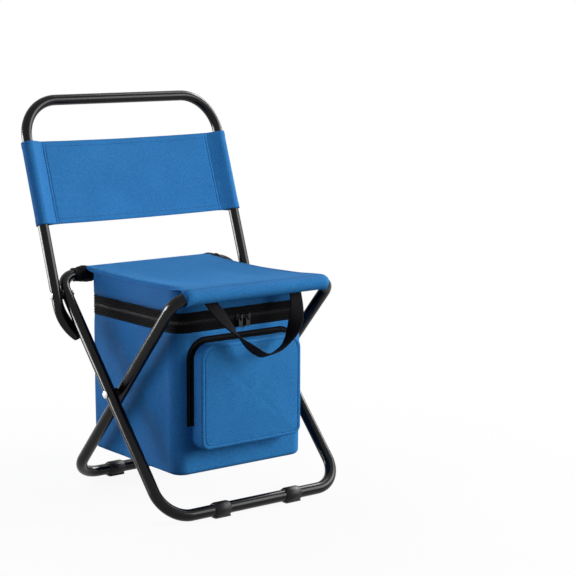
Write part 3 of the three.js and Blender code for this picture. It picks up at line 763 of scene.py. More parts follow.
for side, sign in SIDES:
    for name, body, inner, outer, origin in (
            ("scissor_rivet", "rear_legs", inner_half, outer_half, scissor),
            ("backrest_rivet", "front_legs", outer_half, hoop_half, hoop_pivot)):
        turned = [(sign * x, radius) for x, radius in rivet_profile(inner, outer)]
        pin = lathe(f"{name}_pin_{side}", turned, origin, rivet_steel)
        attach(pin, body, "rivet_steel", f"{name}_{side}")


def foot_section(radius, sole):
    """Outline of a foot in Y and Z: an arc over the tube and a flat sole."""
    angles = np.radians(np.linspace(*FOOT_ARC, FOOT_ARC_STEPS))
    arc = np.column_stack([radius * np.cos(angles), radius * np.sin(angles)])
    sole_line = np.linspace(-FOOT_SOLE_HALF, FOOT_SOLE_HALF, FOOT_SOLE_STEPS)
    flat = np.column_stack([sole_line, np.full(FOOT_SOLE_STEPS, -sole)])
    return np.concatenate([arc, flat])


def foot_rings(floor_height):
    """A foot's sections along its bar, as (place along X, radius, rise of the sole) rows.

    The row without a radius is the bore that grips the tube.
    """
    half, step = FOOT_LENGTH / 2, FOOT_LENGTH / 2 - FOOT_LIP
    rows = [(-half, None, 0), (-half, FOOT_LIP_RADIUS - FOOT_LIP_CHAMFER, FOOT_CHAMFER),
            (-half + FOOT_CHAMFER, FOOT_LIP_RADIUS, FOOT_LIP_RISE),
            (-step - FOOT_LIP_RUN, FOOT_LIP_RADIUS, FOOT_LIP_RISE),
            (-step, FOOT_RADIUS - FOOT_CHAMFER, 0), (-step + FOOT_CHAMFER, FOOT_RADIUS, 0)]
    rows += [(-x, radius, rise) for x, radius, rise in reversed(rows)]
    rings = []
    for x, radius, rise in rows:
        section = foot_section(radius or FOOT_RADIUS, floor_height - rise)
        if radius is None:
            section = section / np.linalg.norm(section, axis=1)[:, None] * (TUBE_RADIUS + FIT_CLEARANCE)
        rings.append(np.column_stack([np.full(len(section), x), section]))
    return np.array(rings)


floor_height = 2 * scissor[2] - front_bar[2]
for name, body, bar_y in (("front", "front_legs", front_bar[1]), ("rear", "rear_legs", rear_bar[1])):
    for side, sign in SIDES:
        origin = np.array([sign * FOOT_SPACING / 2, bar_y, floor_height])
        foot = grid(f"sole_{name}_{side}", foot_rings(floor_height) + origin, black_plastic,
                    wrap=True, looped=True)
        attach(foot, body, "black_plastic", f"foot_{name}_{side}")

for node, material in (("front_seat_bar", frame_paint), ("rear_seat_bar", frame_paint),
                       ("scissor_spacer_left", black_plastic), ("scissor_spacer_right", black_plastic),
                       ("backrest_spacer_left", black_plastic), ("backrest_spacer_right", black_plastic)):
    frame["nodes"][node].material_slots[0].material = material

# Seat cloth, in one piece over the front bar, across the seat and round the rear bar
FRONT_OVERHANG = 2.0
SIDE_OVERHANG = 1.6
SEAT_EDGE = 4.0
FRONT_FLARE = 40.0
SEAT_WRAP = 238.0
ROLL_ROWS = 30
SPAN_ROWS = 60
TURN_START = 6.0
TURN_END = (18.0, 2.0)
ROLL_UNDER = 1.1
ROLL_INSET = 0.4
ROLL_SIDES = 40
ROLL_WEAVE = 1.45
SEAT_THICKNESS = 1.5
SEAT_THIN_SHARE = 0.55
SEAT_RIPPLE = 0.55
SEAT_COLUMNS = 65
EDGE_COLUMNS = 8
TOP_ROWS = 34
HOLLOW_START = 0.45
ROLL_THICKNESS = 0.9
BEND_LIMIT = 0.9
SEAM_MARGIN = 4
front_half = seat_half + FRONT_OVERHANG
side_half = bag_half + SIDE_OVERHANG
bend_start = inner_half - SEAT_BEND
leg_down = np.array([0, math.sin(math.radians(leg_lean)), -math.cos(math.radians(leg_lean))])
seat_lift = math.degrees(math.atan(4 * EDGE_SAG / (rear_bar[1] - front_bar[1])))


def seat_height(x, y):
    """Height of the seat cloth at a place between the bars."""
    share = np.clip((np.asarray(y) - front_bar[1]) / (rear_bar[1] - front_bar[1]), 0, 1)
    arch = 4 * share * (1 - share)
    hollow = MIDDLE_SAG * (1 - smooth_step(np.abs(x), HOLLOW_START * side_half, side_half))
    return front_bar[2] + SEAT_ROLL - EDGE_SAG * arch - hollow * arch ** 2


def round_bar(bar, way, angles):
    """Places (Y, Z) round a seat bar, by the angle from its top towards the front or rear."""
    return [(bar[1] + way * SEAT_ROLL * math.sin(a), bar[2] + SEAT_ROLL * math.cos(a)) for a in angles]


def seat_profile():
    """Places (Y, Z) along the cloth, how far each flares to the front and how far its edges turn down."""
    wrap = np.radians(np.linspace(SEAT_WRAP, -seat_lift, ROLL_ROWS))
    front_turn = round_bar(front_bar, -1, wrap)
    rear_turn = round_bar(rear_bar, 1, wrap[::-1])
    start, end = front_turn[-1][0], rear_turn[0][0]
    span = np.linspace(start, end, SPAN_ROWS + 2)[1:-1]
    places = front_turn + [(y, float(seat_height(side_half, y))) for y in span] + rear_turn
    flare = 1 - smooth_step(span, start, start + FRONT_FLARE)
    turned = smooth_step(span, start + TURN_START, start + FRONT_FLARE)
    turned *= 1 - smooth_step(span, end - TURN_END[0], end - TURN_END[1])
    none, full = np.zeros(ROLL_ROWS), np.ones(ROLL_ROWS)
    return np.array(places), np.concatenate([full, flare, none]), np.concatenate([none, turned, none])


places, near_front, edge_turn = seat_profile()
run = run_length(places)
halves = side_half + (front_half - side_half) * near_front
edge_steps = 1 - SEAT_EDGE / side_half * (1 - np.sin(np.radians(np.linspace(0, 90, EDGE_COLUMNS))))
flat_steps = np.linspace(-edge_steps[0], edge_steps[0], SEAT_COLUMNS)[1:-1]
steps = np.concatenate([-edge_steps[::-1], flat_steps, edge_steps])
seat_points = np.zeros((len(places), len(steps), 3))
for row, ((y, z), share) in enumerate(zip(places, near_front)):
    x = steps * halves[row]
    reach = np.clip((np.abs(x) - bend_start) / SEAT_BEND, 0, BEND_LIMIT)
    fall = SEAT_BEND * (1 - np.sqrt(1 - reach ** 2)) * share
    curl = np.clip(1 - (halves[row] - np.abs(x)) / SEAT_EDGE, 0, 1)
    drop = edge_turn[row] * SEAT_EDGE * (1 - np.sqrt(1 - curl ** 2))
    if ROLL_ROWS <= row < len(places) - ROLL_ROWS:
        drop = drop + seat_height(side_half, y) - seat_height(x, y)
    seat_points[row] = np.stack([x, np.full_like(x, y), z - drop], -1) + np.outer(fall, leg_down)
on_top = np.clip(1 - np.abs(np.arange(len(places)) - len(places) / 2) / TOP_ROWS, 0, 1)
seat_points[..., 2] += SEAT_RIPPLE * on_top[:, None] * ripple(seat_points * (0.5, 1, 1), size=38, seed=1.0)
seat_cloth = grid("seat_cloth", seat_points, blue_cloth, weave(steps * side_half, run))
hem = mark(seat_cloth, "hem", np.tile(np.abs(steps) * side_half > side_half - HEM, (len(places), 1)))
thicken(seat_cloth, SEAT_THICKNESS, hem, SEAT_THIN_SHARE)
attach(seat_cloth, "seat", "blue_fabric", "seat_panel", soft=True)


def roll_core(name, half, reach, lean):
    """Fabric sleeve on a seat bar under the seat cloth."""
    straight = min(reach, half - SEAT_BEND)
    turn = math.degrees(math.asin((reach - straight) / SEAT_BEND))
    drop = SEAT_BEND * (1 - math.cos(math.radians(turn)))
    start = (-straight - SEAT_BEND * math.sin(math.radians(turn)), 0, half_leg - drop)
    path = Path(start, spun(X_AXIS, Y_AXIS, -turn), Y_AXIS)
    if turn > 0:
        path.bend(Y_AXIS, SEAT_BEND, turn)
    path.line(2 * straight)
    if turn > 0:
        path.bend(Y_AXIS, SEAT_BEND, turn)
    rings = tilted(path.rings(SEAT_ROLL - ROLL_UNDER, ROLL_SIDES), lean, scissor)
    uv = [[(float(ring[0][0]), ROLL_WEAVE * c) for c in range(ROLL_SIDES + 1)] for ring in rings]
    return thicken(grid(name, rings, blue_cloth, uv, wrap=True), ROLL_THICKNESS)


front_roll = roll_core("front_roll", inner_half, front_half - ROLL_INSET, leg_lean)
attach(front_roll, "rear_legs", "blue_fabric", "seat_front_sleeve")
rear_roll = roll_core("rear_roll", outer_half, side_half - ROLL_INSET, -leg_lean)
attach(rear_roll, "front_legs", "blue_fabric", "seat_rear_sleeve")

seat_seams = Seam()
for sign in (-1, 1):
    rows = np.arange(ROLL_ROWS + SEAM_MARGIN, len(places) - ROLL_ROWS - SEAM_MARGIN)
    column = np.argmin(np.abs(steps * side_half - sign * (side_half - HEM + STITCH_INSET)))
    seat_seams.run(seat_points[rows, column] + (0, 0, SEAT_THICKNESS / 2), Z_AXIS)
attach(seat_seams.sew("seat_stitches", blue_thread), "seat", "blue_fabric", soft=True)


# Gathered covers from the seat's rear corners over the tube joints to the bends
COVER_LAP = 6.0
COVER_TURN = 4.0
COVER_SLANT = 4.5
COVER_WIDE = 11.9
COVER_TIGHT = 9.3
COVER_TAPER = (0.1, 0.95)
COVER_HEM = 0.5
COVER_HEM_AT = 0.94
COVER_HEM_WIDTH = 0.05
COVER_FOLD = 0.35
COVER_FOLD_RATE = 1.9
COVER_FOLD_START = 0.15
COVER_LUMP = 0.8
COVER_LUMP_FLOOR = -0.3
COVER_BORE = 0.2
COVER_LIP = 0.7
COVER_MOUTH = 3
COVER_MOUTH_NEAR = 0.8
COVER_STEPS = 16
COVER_SIDES = 56
COVER_WEAVE = 1.3


def gathered_cover(sign):
    """A wrinkled sleeve, wide where it laps the seat roll and drawn in at the bend."""
    straight = outer_half - SEAT_BEND
    path = Path((side_half - COVER_LAP, 0, half_leg), X_AXIS, Y_AXIS)
    for _ in range(COVER_STEPS):
        path.line((straight - side_half + COVER_LAP) / COVER_STEPS)
    path.bend(Y_AXIS, SEAT_BEND, COVER_TURN, 2)
    centres = np.array(path.points)
    walked = run_length(centres)
    share = walked / walked[-1]
    radii = COVER_WIDE + (COVER_TIGHT - COVER_WIDE) * smooth_step(share, *COVER_TAPER)
    radii += COVER_HEM * np.exp(-((share - COVER_HEM_AT) / COVER_HEM_WIDTH) ** 2)
    rings = path.rings(1.0, COVER_SIDES)
    rows = []
    for index, ring in enumerate(rings):
        outward = ring - centres[index]
        folds = COVER_FOLD * math.sin(COVER_FOLD_RATE * walked[index])
        folds *= smooth_step(share[index], 0, COVER_FOLD_START)
        lumps = COVER_LUMP * ripple(ring * (0.6, 6, 6), size=3.2, seed=3.0 + sign)
        reach = radii[index] + folds + np.maximum(lumps, COVER_LUMP_FLOOR)
        rows.append(centres[index] + outward * reach[:, None])
    bore, lip = TUBE_RADIUS + COVER_BORE, COVER_WIDE - COVER_LIP
    for index, radius in ((-1, bore), (COVER_MOUTH, bore), (COVER_MOUTH, lip), (0, lip)):
        rows.append(centres[index] + (rings[index] - centres[index]) * radius)
    rows = tilted(np.array(rows) * (sign, 1, 1), -leg_lean, scissor)
    near_seat = np.append(1 - share, [0, COVER_MOUTH_NEAR, COVER_MOUTH_NEAR, 1])[:, None]
    low_front = ((rear_bar - rows) @ unit([0, 1, 1])) / COVER_WIDE
    rows[..., 0] -= sign * COVER_SLANT * near_seat * low_front
    return rows


for side, sign in SIDES:
    rings = gathered_cover(sign)
    columns = COVER_WEAVE * np.arange(COVER_SIDES + 1)
    uv = [[(COVER_WEAVE * row, column) for column in columns] for row in range(len(rings) + 1)]
    cover = grid(f"bar_cover_{side}", rings, black_cloth, uv, wrap=True, looped=True)
    attach(cover, "front_legs", "black_fabric", f"rear_bar_sleeve_{side}")


# Lid skirt under the seat
SKIRT_UNDER = 0.9
SKIRT_OUTSET = 0.2
SKIRT_SWELL = 0.9
SKIRT_RIPPLE = 0.35
SKIRT_STITCHES = (2.6, 5.0)
SKIRT_STITCH_PROUD = 1.0
SKIRT_STITCH_LEAN = 0.02
SKIRT_ROWS = 9
RING_SPACING = 5.0
bag = Outline(-bag_half, bag_half, bag_front, bag_rear, BAG_CORNER, REAR_CORNER)
around = bag.spaced(RING_SPACING)
all_round = np.append(around, bag.length)
facing = bag.normal(around)


def bag_rings(heights, outsets, stations=around):
    """Points round the bag at each height, with outsets for each height or place."""
    return np.array([level(bag.at(stations, out), height) for height, out in zip(heights, outsets)])


def bag_uv(heights, stations=all_round):
    return weave(stations, [float(np.mean(height)) for height in heights])


skirt_top = seat_height(*bag.at(around).T) - SKIRT_UNDER
shares = np.linspace(0, 1, SKIRT_ROWS)
skirt_heights = [lid_rim + (skirt_top - lid_rim) * share for share in shares]
skirt_outsets = [SKIRT_OUTSET + SKIRT_SWELL * math.sin(math.pi * share) for share in shares]
skirt_points = bag_rings(skirt_heights, skirt_outsets)
skirt_points[..., :2] += SKIRT_RIPPLE * ripple(skirt_points, size=22, seed=5.0)[..., None] * facing[None]
skirt = grid("lid_skirt_cloth", skirt_points, blue_cloth, bag_uv(skirt_heights), wrap=True)
thicken(skirt, CLOTH)
attach(skirt, "seat", "blue_fabric", "lid_skirt", soft=True)
lid_stitches = Seam()
for rise in SKIRT_STITCHES:
    proud = SKIRT_STITCH_PROUD + SKIRT_STITCH_LEAN * rise
    lid_stitches.run(level(bag.at(all_round, proud), lid_rim + rise), level(bag.normal(all_round), 0))
attach(lid_stitches.sew("skirt_stitches", blue_thread), "seat", "blue_fabric", soft=True)


# Cooler bag: outer cloth, rear hinge, foil lining and bound rim
FLANK_SWELL = 2.6
REAR_SWELL = 2.2
FRONT_SWELL = 0.2
SWELL_LOW = 0.8
WALL_ROWS = 30
WALL_LAP = 0.6
EDGE_ROWS = 11
FLOOR_RINGS = 14
FLOOR_WEAVE = 90.0
FRONT_CALM = 0.85
FRONT_HELD = (-0.3, 0.8)
HELD_ROWS = 3
HINGE_ROWS = 8
HINGE_LAP = 1.0
HINGE_RISE = 0.4
HINGE_OUTSET = 0.3
HINGE_SWELL = 0.5
HINGE_COLUMNS = 60
LINER_GAP = 0.6
LINER_ROWS = 22
LINER_RINGS = 12
LINER_BELOW_RIM = 0.5
LINER_CRINKLE = 0.7
LID_RINGS = 16
LID_INSET = 1.6
LID_RISE = 0.6
LID_CRINKLE = 0.8
FOIL_THICKNESS = 0.8
BAG_CREASE = 0.8
CREASE_ROWS = 4
RIM_PROFILE = [(-0.9, -6), (-0.8, -2), (-1.4, 0.1), (-3, 0.5),
               (-5.6, 0.5), (-7.3, 0.1), (-8.1, -2), (-8.1, -7)]
RIM_THICKNESS = 0.7
RIM_WEAVE = 2.0


def bag_bulge(height):
    """How far the walls swell, most on the flanks and least on the front behind the pocket."""
    depth = np.clip((bag_rim - height) / (bag_rim - bag_bottom - CLOTH_EDGE), 0, 1)
    flank = FLANK_SWELL * np.abs(facing[:, 0]) ** 3
    rear = REAR_SWELL * np.clip(facing[:, 1], 0, 1) ** 3
    front = FRONT_SWELL * np.clip(-facing[:, 1], 0, 1) ** 3
    return math.sin(math.pi * float(depth) ** SWELL_LOW) * (flank + rear + front)


wall_heights = np.linspace(bag_rim + WALL_LAP, bag_bottom + CLOTH_EDGE, WALL_ROWS)
edge_angles = np.radians(np.linspace(0, 90, EDGE_ROWS))[1:]
bag_heights = list(wall_heights) + [bag_bottom + CLOTH_EDGE * (1 - math.sin(a)) for a in edge_angles]
bag_outsets = [bag_bulge(height) for height in wall_heights]
bag_outsets += [-CLOTH_EDGE * (1 - math.cos(a)) for a in edge_angles]
bag_points = bag_rings(bag_heights, bag_outsets)
crease = BAG_CREASE * ripple(bag_points * (1, 1, 0.6), size=34, seed=9.0)
crease *= (1 - FRONT_CALM * np.clip(-facing[:, 1], 0, 1))[None]
crease *= smooth_step(np.arange(len(bag_heights)), 0, CREASE_ROWS)[:, None]
bag_points[..., :2] += crease[..., None] * facing[None]
centre = np.array([0, (bag_front + bag_rear) / 2, bag_bottom])
floor_scales = np.linspace(1, LAST_RING, FLOOR_RINGS)[1:]
bag_points = np.concatenate([bag_points, drawn_in(bag_points[-1], centre, floor_scales)])
bag_depths = bag_heights + [bag_bottom - FLOOR_WEAVE * (1 - scale) for scale in floor_scales]
bag_shell = grid("bag_cloth", bag_points, blue_cloth, bag_uv(bag_depths), wrap=True, shut=True)
bag_rows = np.arange(len(bag_points))
held_rows = (bag_rows < HELD_ROWS) | (bag_rows >= len(wall_heights) - 1)
puff(bag_shell, np.maximum(held_rows[:, None], smooth_step(-facing[:, 1], *FRONT_HELD)[None]), BAG_PUFF)
thicken(bag_shell, CLOTH)
attach(bag_shell, "cooler", "blue_fabric", "cooler_shell", soft=True)

zip_start = bag_half - REAR_CORNER - ZIP_REAR_LAP
hinge_line = np.linspace(-zip_start, zip_start, HINGE_COLUMNS)
hinge_heights = np.linspace(bag_rim - HINGE_LAP, lid_rim + HINGE_RISE, HINGE_ROWS)
hinge_swell = [math.sin(math.pi * row / (HINGE_ROWS - 1)) for row in range(HINGE_ROWS)]
hinge_outsets = [HINGE_OUTSET + HINGE_SWELL * swell for swell in hinge_swell]
hinge_points = bag_rings(hinge_heights, hinge_outsets, hinge_line % bag.length)
hinge_uv = weave(hinge_line, hinge_heights)
hinge = thicken(grid("bag_hinge", hinge_points, blue_cloth, hinge_uv), CLOTH)
attach(hinge, "cooler", "blue_fabric", soft=True)

liner_heights = list(np.linspace(bag_rim - LINER_BELOW_RIM, bag_floor + BAG_EDGE, LINER_ROWS))
liner_heights += [bag_floor + BAG_WALL + (BAG_EDGE - BAG_WALL) * (1 - math.sin(a)) for a in edge_angles]
liner_outsets = [-BAG_WALL - LINER_GAP] * LINER_ROWS
liner_outsets += [-BAG_WALL - LINER_GAP - (BAG_EDGE - BAG_WALL) * (1 - math.cos(a)) for a in edge_angles]
liner_points = bag_rings(liner_heights, liner_outsets)
crinkle = LINER_CRINKLE * np.abs(ripple(liner_points, size=14, seed=2.0))
liner_points[..., :2] -= crinkle[..., None] * facing[None]
liner_floor = liner_points[-1]
liner_middle = np.array([0, centre[1], liner_floor[0, 2]])
liner_rings = drawn_in(liner_floor, liner_middle, np.linspace(1, LAST_RING, LINER_RINGS)[1:])
liner = grid("foil_lining", np.concatenate([liner_points, liner_rings]), silver_foil, wrap=True, shut=True)
thicken(liner, FOIL_THICKNESS)
attach(liner, "cooler", "foil", "cooler_liner", "cooler_foam", soft=True)

rim_points = bag_rings([bag_rim + rise for _, rise in RIM_PROFILE], [outset for outset, _ in RIM_PROFILE])
rim_uv = weave(all_round, RIM_WEAVE * np.arange(len(RIM_PROFILE)))
rim = thicken(grid("rim_binding", rim_points, black_tape, rim_uv, wrap=True), RIM_THICKNESS)
attach(rim, "cooler", "black_fabric", soft=True)

lid_edge = bag_rings([lid_rim + LID_RISE], [-LID_INSET])[0]
lid_middle = np.array([0, centre[1], lid_rim + LID_RISE])
lid_rows = drawn_in(lid_edge, lid_middle, np.linspace(1, LAST_RING, LID_RINGS))
lid_rows[..., 2] += LID_CRINKLE * np.abs(ripple(lid_rows, size=16, seed=7.0))
lid_lining = thicken(grid("lid_lining", lid_rows, silver_foil, wrap=True, shut=True), FOIL_THICKNESS)
attach(lid_lining, "seat", "foil", "lid_foil", "lid_foam", soft=True)


# Lid zip: bound tape above and below a row of teeth
ZIP_EDGE = 13.9
RIB_PITCH = 3.7
RIB_HEIGHT = 0.95
RIB_ROOT = 0.25
RIB_START = 2.4
RIB_STEP = 0.3
ZIP_TUCK = 0.4
ZIP_STATIONS = 190
ZIP_TAPE = 0.6
rib_rises = np.arange(RIB_STEP / 2, ZIP_EDGE, RIB_STEP)
rib_waves = 0.5 - 0.5 * np.cos(2 * math.pi * (rib_rises - RIB_START) / RIB_PITCH)
rib_outsets = RIB_ROOT + RIB_HEIGHT * np.sqrt(rib_waves) * (rib_rises > RIB_START)
ZIP_PROFILE = [(ZIP_EDGE, -ZIP_TUCK)] + list(zip(rib_rises, rib_outsets))[::-1]
TOOTH_PITCH = 1.7
TOOTH_HALF_SIZES = (2.5, 0.6, 0.62)
TOOTH_LEAN = 0.12
TOOTH_PROUD = 0.75
TOOTH_MARGIN = 1.0
zip_line = np.linspace(zip_start, bag.length - zip_start, ZIP_STATIONS)
for half, body, sign in (("upper", "seat", 1), ("lower", "cooler", -1)):
    heights = [zip_height + sign * rise for rise, _ in ZIP_PROFILE]
    tape_points = bag_rings(heights, [outset for _, outset in ZIP_PROFILE], zip_line)
    tape = grid(f"zip_tape_{half}", tape_points, black_tape, bag_uv(heights, zip_line))
    attach(thicken(tape, ZIP_TAPE), body, "black_fabric", f"lid_zip_{half}_tape", soft=True)

tooth_line = np.arange(zip_start + TOOTH_MARGIN, bag.length - zip_start - TOOTH_MARGIN, TOOTH_PITCH)
tooth_facing = level(bag.normal(tooth_line), 0)
tooth_run = np.cross(tooth_facing, Z_AXIS)
tooth_places = level(bag.at(tooth_line, TOOTH_PROUD), zip_height)
lean_ways = np.where(np.arange(len(tooth_line)) % 2, TOOTH_LEAN, -TOOTH_LEAN)[:, None]
tooth_ways = Z_AXIS + lean_ways * tooth_run
teeth = beads("zip_teeth", tooth_places, tooth_ways, tooth_facing, TOOTH_HALF_SIZES, black_plastic)
attach(teeth, "seat", "black_plastic", "lid_zip_chain", soft=True)


# Cast sliders and pulls
CAST_WELD = 0.02
CAST_EDGE = 0.3
CAST_ANGLE = 35.0


def cast_copy(node):
    """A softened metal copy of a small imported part."""
    piece = bpy.data.objects.new(f"cast_{node}", frame["nodes"][node].data.copy())
    bpy.context.scene.collection.objects.link(piece)
    piece.data.materials.clear()
    piece.data.materials.append(zip_metal)
    weld = piece.modifiers.new("weld", "WELD")
    weld.merge_threshold = CAST_WELD * MM
    bevel = piece.modifiers.new("edges", "BEVEL")
    bevel.width = CAST_EDGE * MM
    bevel.segments = 2
    bevel.limit_method = "ANGLE"
    bevel.angle_limit = math.radians(CAST_ANGLE)
    return piece


for node in ("lid_zip_slider_left", "lid_zip_slider_right", "lid_zip_pull_left", "lid_zip_pull_right",
             "pocket_zip_slider", "pocket_zip_pull"):
    attach(cast_copy(node), node.replace("_zip", ""), "zip_metal", node, soft=True)


# Front pocket: gusset, rounded edge and a stitched, slightly crowned face
POCKET_CROWN = 1.0
PIPING = 0.963
GROOVE_DEPTH = 0.9
GROOVE_WIDTH = 0.007
POCKET_SWAY = 0.5
SWAY_ROWS = (6, 12)
POCKET_SPACING = 4.0
POCKET_STITCH = 0.45
GUSSET_ROWS = 9
ROUNDING_ROWS = 9
SEWN_ROWS = 8
pocket = Outline(-pocket_half, pocket_half, pocket_low, pocket_high, POCKET_BOTTOM_RADIUS, POCKET_TOP_RADIUS)
pocket_line = pocket.spaced(POCKET_SPACING)
pocket_middle = np.array([0, (pocket_low + pocket_high) / 2])
pocket_back = bag_front - FIT_CLEARANCE


def pocket_ring(outset, y):
    return upright(pocket.at(pocket_line, outset), y)


pocket_rows = [pocket_ring(0, y) for y in np.linspace(pocket_back, pocket_front + POCKET_EDGE, GUSSET_ROWS)]
for angle in np.radians(np.linspace(0, 90, ROUNDING_ROWS))[1:]:
    pocket_rows.append(pocket_ring(-POCKET_EDGE * (1 - math.cos(angle)),
                                   pocket_front + POCKET_EDGE * (1 - math.sin(angle))))
gusset_rows = len(pocket_rows)
face_edge = pocket_rows[-1][:, [0, 2]]
face_scales = [0.9995, 0.99, 0.98, 0.974, 0.969, PIPING, 0.957, 0.952, 0.946, 0.936, 0.92]
face_scales += list(np.linspace(0.88, 0.02, 20))
for scale in face_scales:
    flat = pocket_middle + (face_edge - pocket_middle) * scale
    groove = GROOVE_DEPTH * math.exp(-((scale - PIPING) / GROOVE_WIDTH) ** 2)
    crown = POCKET_CROWN * (1 - scale ** 2)
    pocket_rows.append(upright(flat, pocket_front - crown + groove))
pocket_points = np.array(pocket_rows)
sway = POCKET_SWAY * ripple(pocket_points * (1, 0.5, 1), size=30, seed=12.0)
free = smooth_step(np.arange(len(pocket_rows)), SWAY_ROWS[0], gusset_rows + SWAY_ROWS[1])
pocket_points[..., 1] += sway * free[:, None]
pocket_uv = []
for row, points in enumerate(pocket_points):
    if row < gusset_rows:
        pocket_uv.append([(s, points[0][1]) for s in list(pocket_line) + [pocket.length]])
    else:
        pocket_uv.append([(point[0], point[2]) for point in list(points) + [points[0]]])
pocket_cloth = grid("pocket_cloth", pocket_points, blue_cloth, pocket_uv, wrap=True, shut=True)
sewn_rows = np.arange(len(pocket_points)) < gusset_rows + SEWN_ROWS
puff(pocket_cloth, np.tile(np.where(sewn_rows[:, None], 1.0, 0.0), (1, len(pocket_line))), POCKET_PUFF)
thicken(pocket_cloth, CLOTH)
attach(pocket_cloth, "cooler", "blue_fabric", "pocket_cover", soft=True)
groove_row = pocket_points[gusset_rows + face_scales.index(PIPING)]
pocket_seam = Seam().run(np.concatenate([groove_row, groove_row[:1]]) - (0, POCKET_STITCH, 0), -Y_AXIS, 0.0)
attach(pocket_seam.sew("pocket_stitches", blue_thread), "cooler", "blue_fabric", soft=True)

# Zip tape round the pocket's sides and top
COIL_HALF_SIZES = (1.7, 0.6, 0.5)
COIL_PROUD = 0.9
COIL_INSET = 0.4
COIL_MARGIN = 2.0
TAPE_STATIONS = 150
TAPE_THICKNESS = 0.4
TAPE_WEAVE = 1.2
zip_half = pocket_half - POCKET_TOP_RADIUS + math.pi / 2 * POCKET_TOP_RADIUS
zip_half += POCKET_ZIP_LENGTH - POCKET_TOP_RADIUS
pocket_zip_line = np.linspace(-zip_half, zip_half, TAPE_STATIONS)
TAPE_PROFILE = [(0.75, 5.6), (0.8, 1.8), (1.2, 1.0), (1.9, 0.9), (2.1, 1.25), (2.7, 1.25), (2.9, 0.8),
                (6.2, 0.8), (6.4, 1.25), (7.0, 1.25), (7.2, 0.9), (8.4, 0.8), (8.6, -0.2)]
tape_line = pocket_zip_line % pocket.length
tape_rows = [upright(pocket.at(tape_line, outset), bag_front - proud) for outset, proud in TAPE_PROFILE]
tape_uv = weave(pocket_zip_line, TAPE_WEAVE * np.arange(len(TAPE_PROFILE)))
pocket_tape = thicken(grid("pocket_zip_tape", tape_rows, black_tape, tape_uv), TAPE_THICKNESS)
attach(pocket_tape, "cooler", "black_fabric", "pocket_zip", soft=True)
coil_line = np.arange(-zip_half + COIL_MARGIN, zip_half - COIL_MARGIN, TOOTH_PITCH) % pocket.length
coil_flat = pocket.at(coil_line, COIL_INSET + POCKET_ZIP_WIDTH / 2)
coil_places = upright(coil_flat, bag_front - COIL_PROUD)
coil_across = upright(pocket.normal(coil_line), 0.0)
coil_facing = np.tile(-Y_AXIS, (len(coil_flat), 1))
coil = beads("pocket_zip_teeth", coil_places, coil_across, coil_facing, COIL_HALF_SIZES, black_plastic)
attach(coil, "cooler", "black_plastic", soft=True)


# Backrest band: the cloth wraps both side tubes and is sewn back onto itself
WEB_COLUMNS = 28
SEAM_COLUMNS = 20
SEAM_ZONE = (10.0, 9.5)
WRAP_COLUMNS = 36
LEAVE_COLUMNS = 7
LEAVE_CURVE = 1.15
FLAP_GAP = 1.4
FLAP_END = (5.0, 1.9)


def band_profile():
    """Places (X, Y) across the band in the hoop's own axes, from the left flap to the right one."""
    seam = hoop_half - BAND_SEAM
    leave = 90 - math.degrees(math.asin(BAND_WRAP / BAND_SEAM))
    columns = np.concatenate([np.linspace(0, seam - SEAM_ZONE[0], WEB_COLUMNS),
                              np.linspace(seam - SEAM_ZONE[1], seam, SEAM_COLUMNS)])
    right = [(x, BAND_SAG * (1 - (x / seam) ** 2)) for x in columns]
    turn = math.radians(leave)
    front = (hoop_half - BAND_WRAP * math.cos(turn), -BAND_WRAP * math.sin(turn))
    for share in np.linspace(0, 1, LEAVE_COLUMNS)[1:-1]:
        right.append((seam + (front[0] - seam) * share, front[1] * share ** LEAVE_CURVE))
    for angle in np.radians(np.linspace(180 + leave, 540 - leave, WRAP_COLUMNS)):
        right.append((hoop_half + BAND_WRAP * math.cos(angle), BAND_WRAP * math.sin(angle)))
    for share in np.linspace(1, 0, LEAVE_COLUMNS)[1:]:
        behind = FLAP_GAP - (front[1] + FLAP_GAP) * share ** LEAVE_CURVE
        right.append((seam + (front[0] - seam) * share, behind))
    right.append((seam - FLAP_END[0], FLAP_END[1]))
    left = [(-x, y) for x, y in right[:0:-1]]
    return np.array(left + right), seam


SIDE_STITCHES = (1.5, 5.5)
STITCH_DEPTH = 0.6
STITCH_GROOVE = 0.9
PULL_START = 0.35
FLAP_STITCH = (2.5, 0.6)
HEM_PROUD = 0.7
BAND_THICKNESS = 1.7
BAND_THIN_SHARE = 0.6
SEAM_PULL = 0.6
BAND_RIPPLE = 0.5
BAND_ROWS = 49
FLAP_COLUMNS = 20
profile, seam_x = band_profile()
web_columns = np.abs(profile[:, 0]) <= seam_x
web_columns[:FLAP_COLUMNS] = False
web_columns[-FLAP_COLUMNS:] = False
web = np.flatnonzero(web_columns)
band_run = run_length(profile)
band_heights = BAND_BOTTOM + np.linspace(0, BAND_HEIGHT, BAND_ROWS)
band_points = np.array([level(profile, height) for height in band_heights])
near_seam = smooth_step(np.abs(profile[:, 0]), PULL_START * seam_x, seam_x) * web_columns
pull = ripple(band_points * (0.14, 0, 1), size=9, seed=21.0) * SEAM_PULL * near_seam[None]
pull += BAND_RIPPLE * ripple(band_points, size=46, seed=4.0) * web_columns[None]
pull += sum(STITCH_DEPTH * np.exp(-((seam_x - inset - np.abs(profile[:, 0])) / STITCH_GROOVE) ** 2)
            for inset in SIDE_STITCHES)[None] * web_columns[None]
band_points[..., 1] += pull
band = grid("backrest_band", on_hoop(band_points), blue_cloth, weave(band_run, band_heights))
from_edge = np.minimum(band_heights - BAND_BOTTOM, BAND_BOTTOM + BAND_HEIGHT - band_heights)
band_hem = mark(band, "hem", np.tile((from_edge < HEM)[:, None], (1, len(profile))))
thicken(band, BAND_THICKNESS, band_hem, BAND_THIN_SHARE)
attach(band, "backrest", "blue_fabric", "backrest_panel")

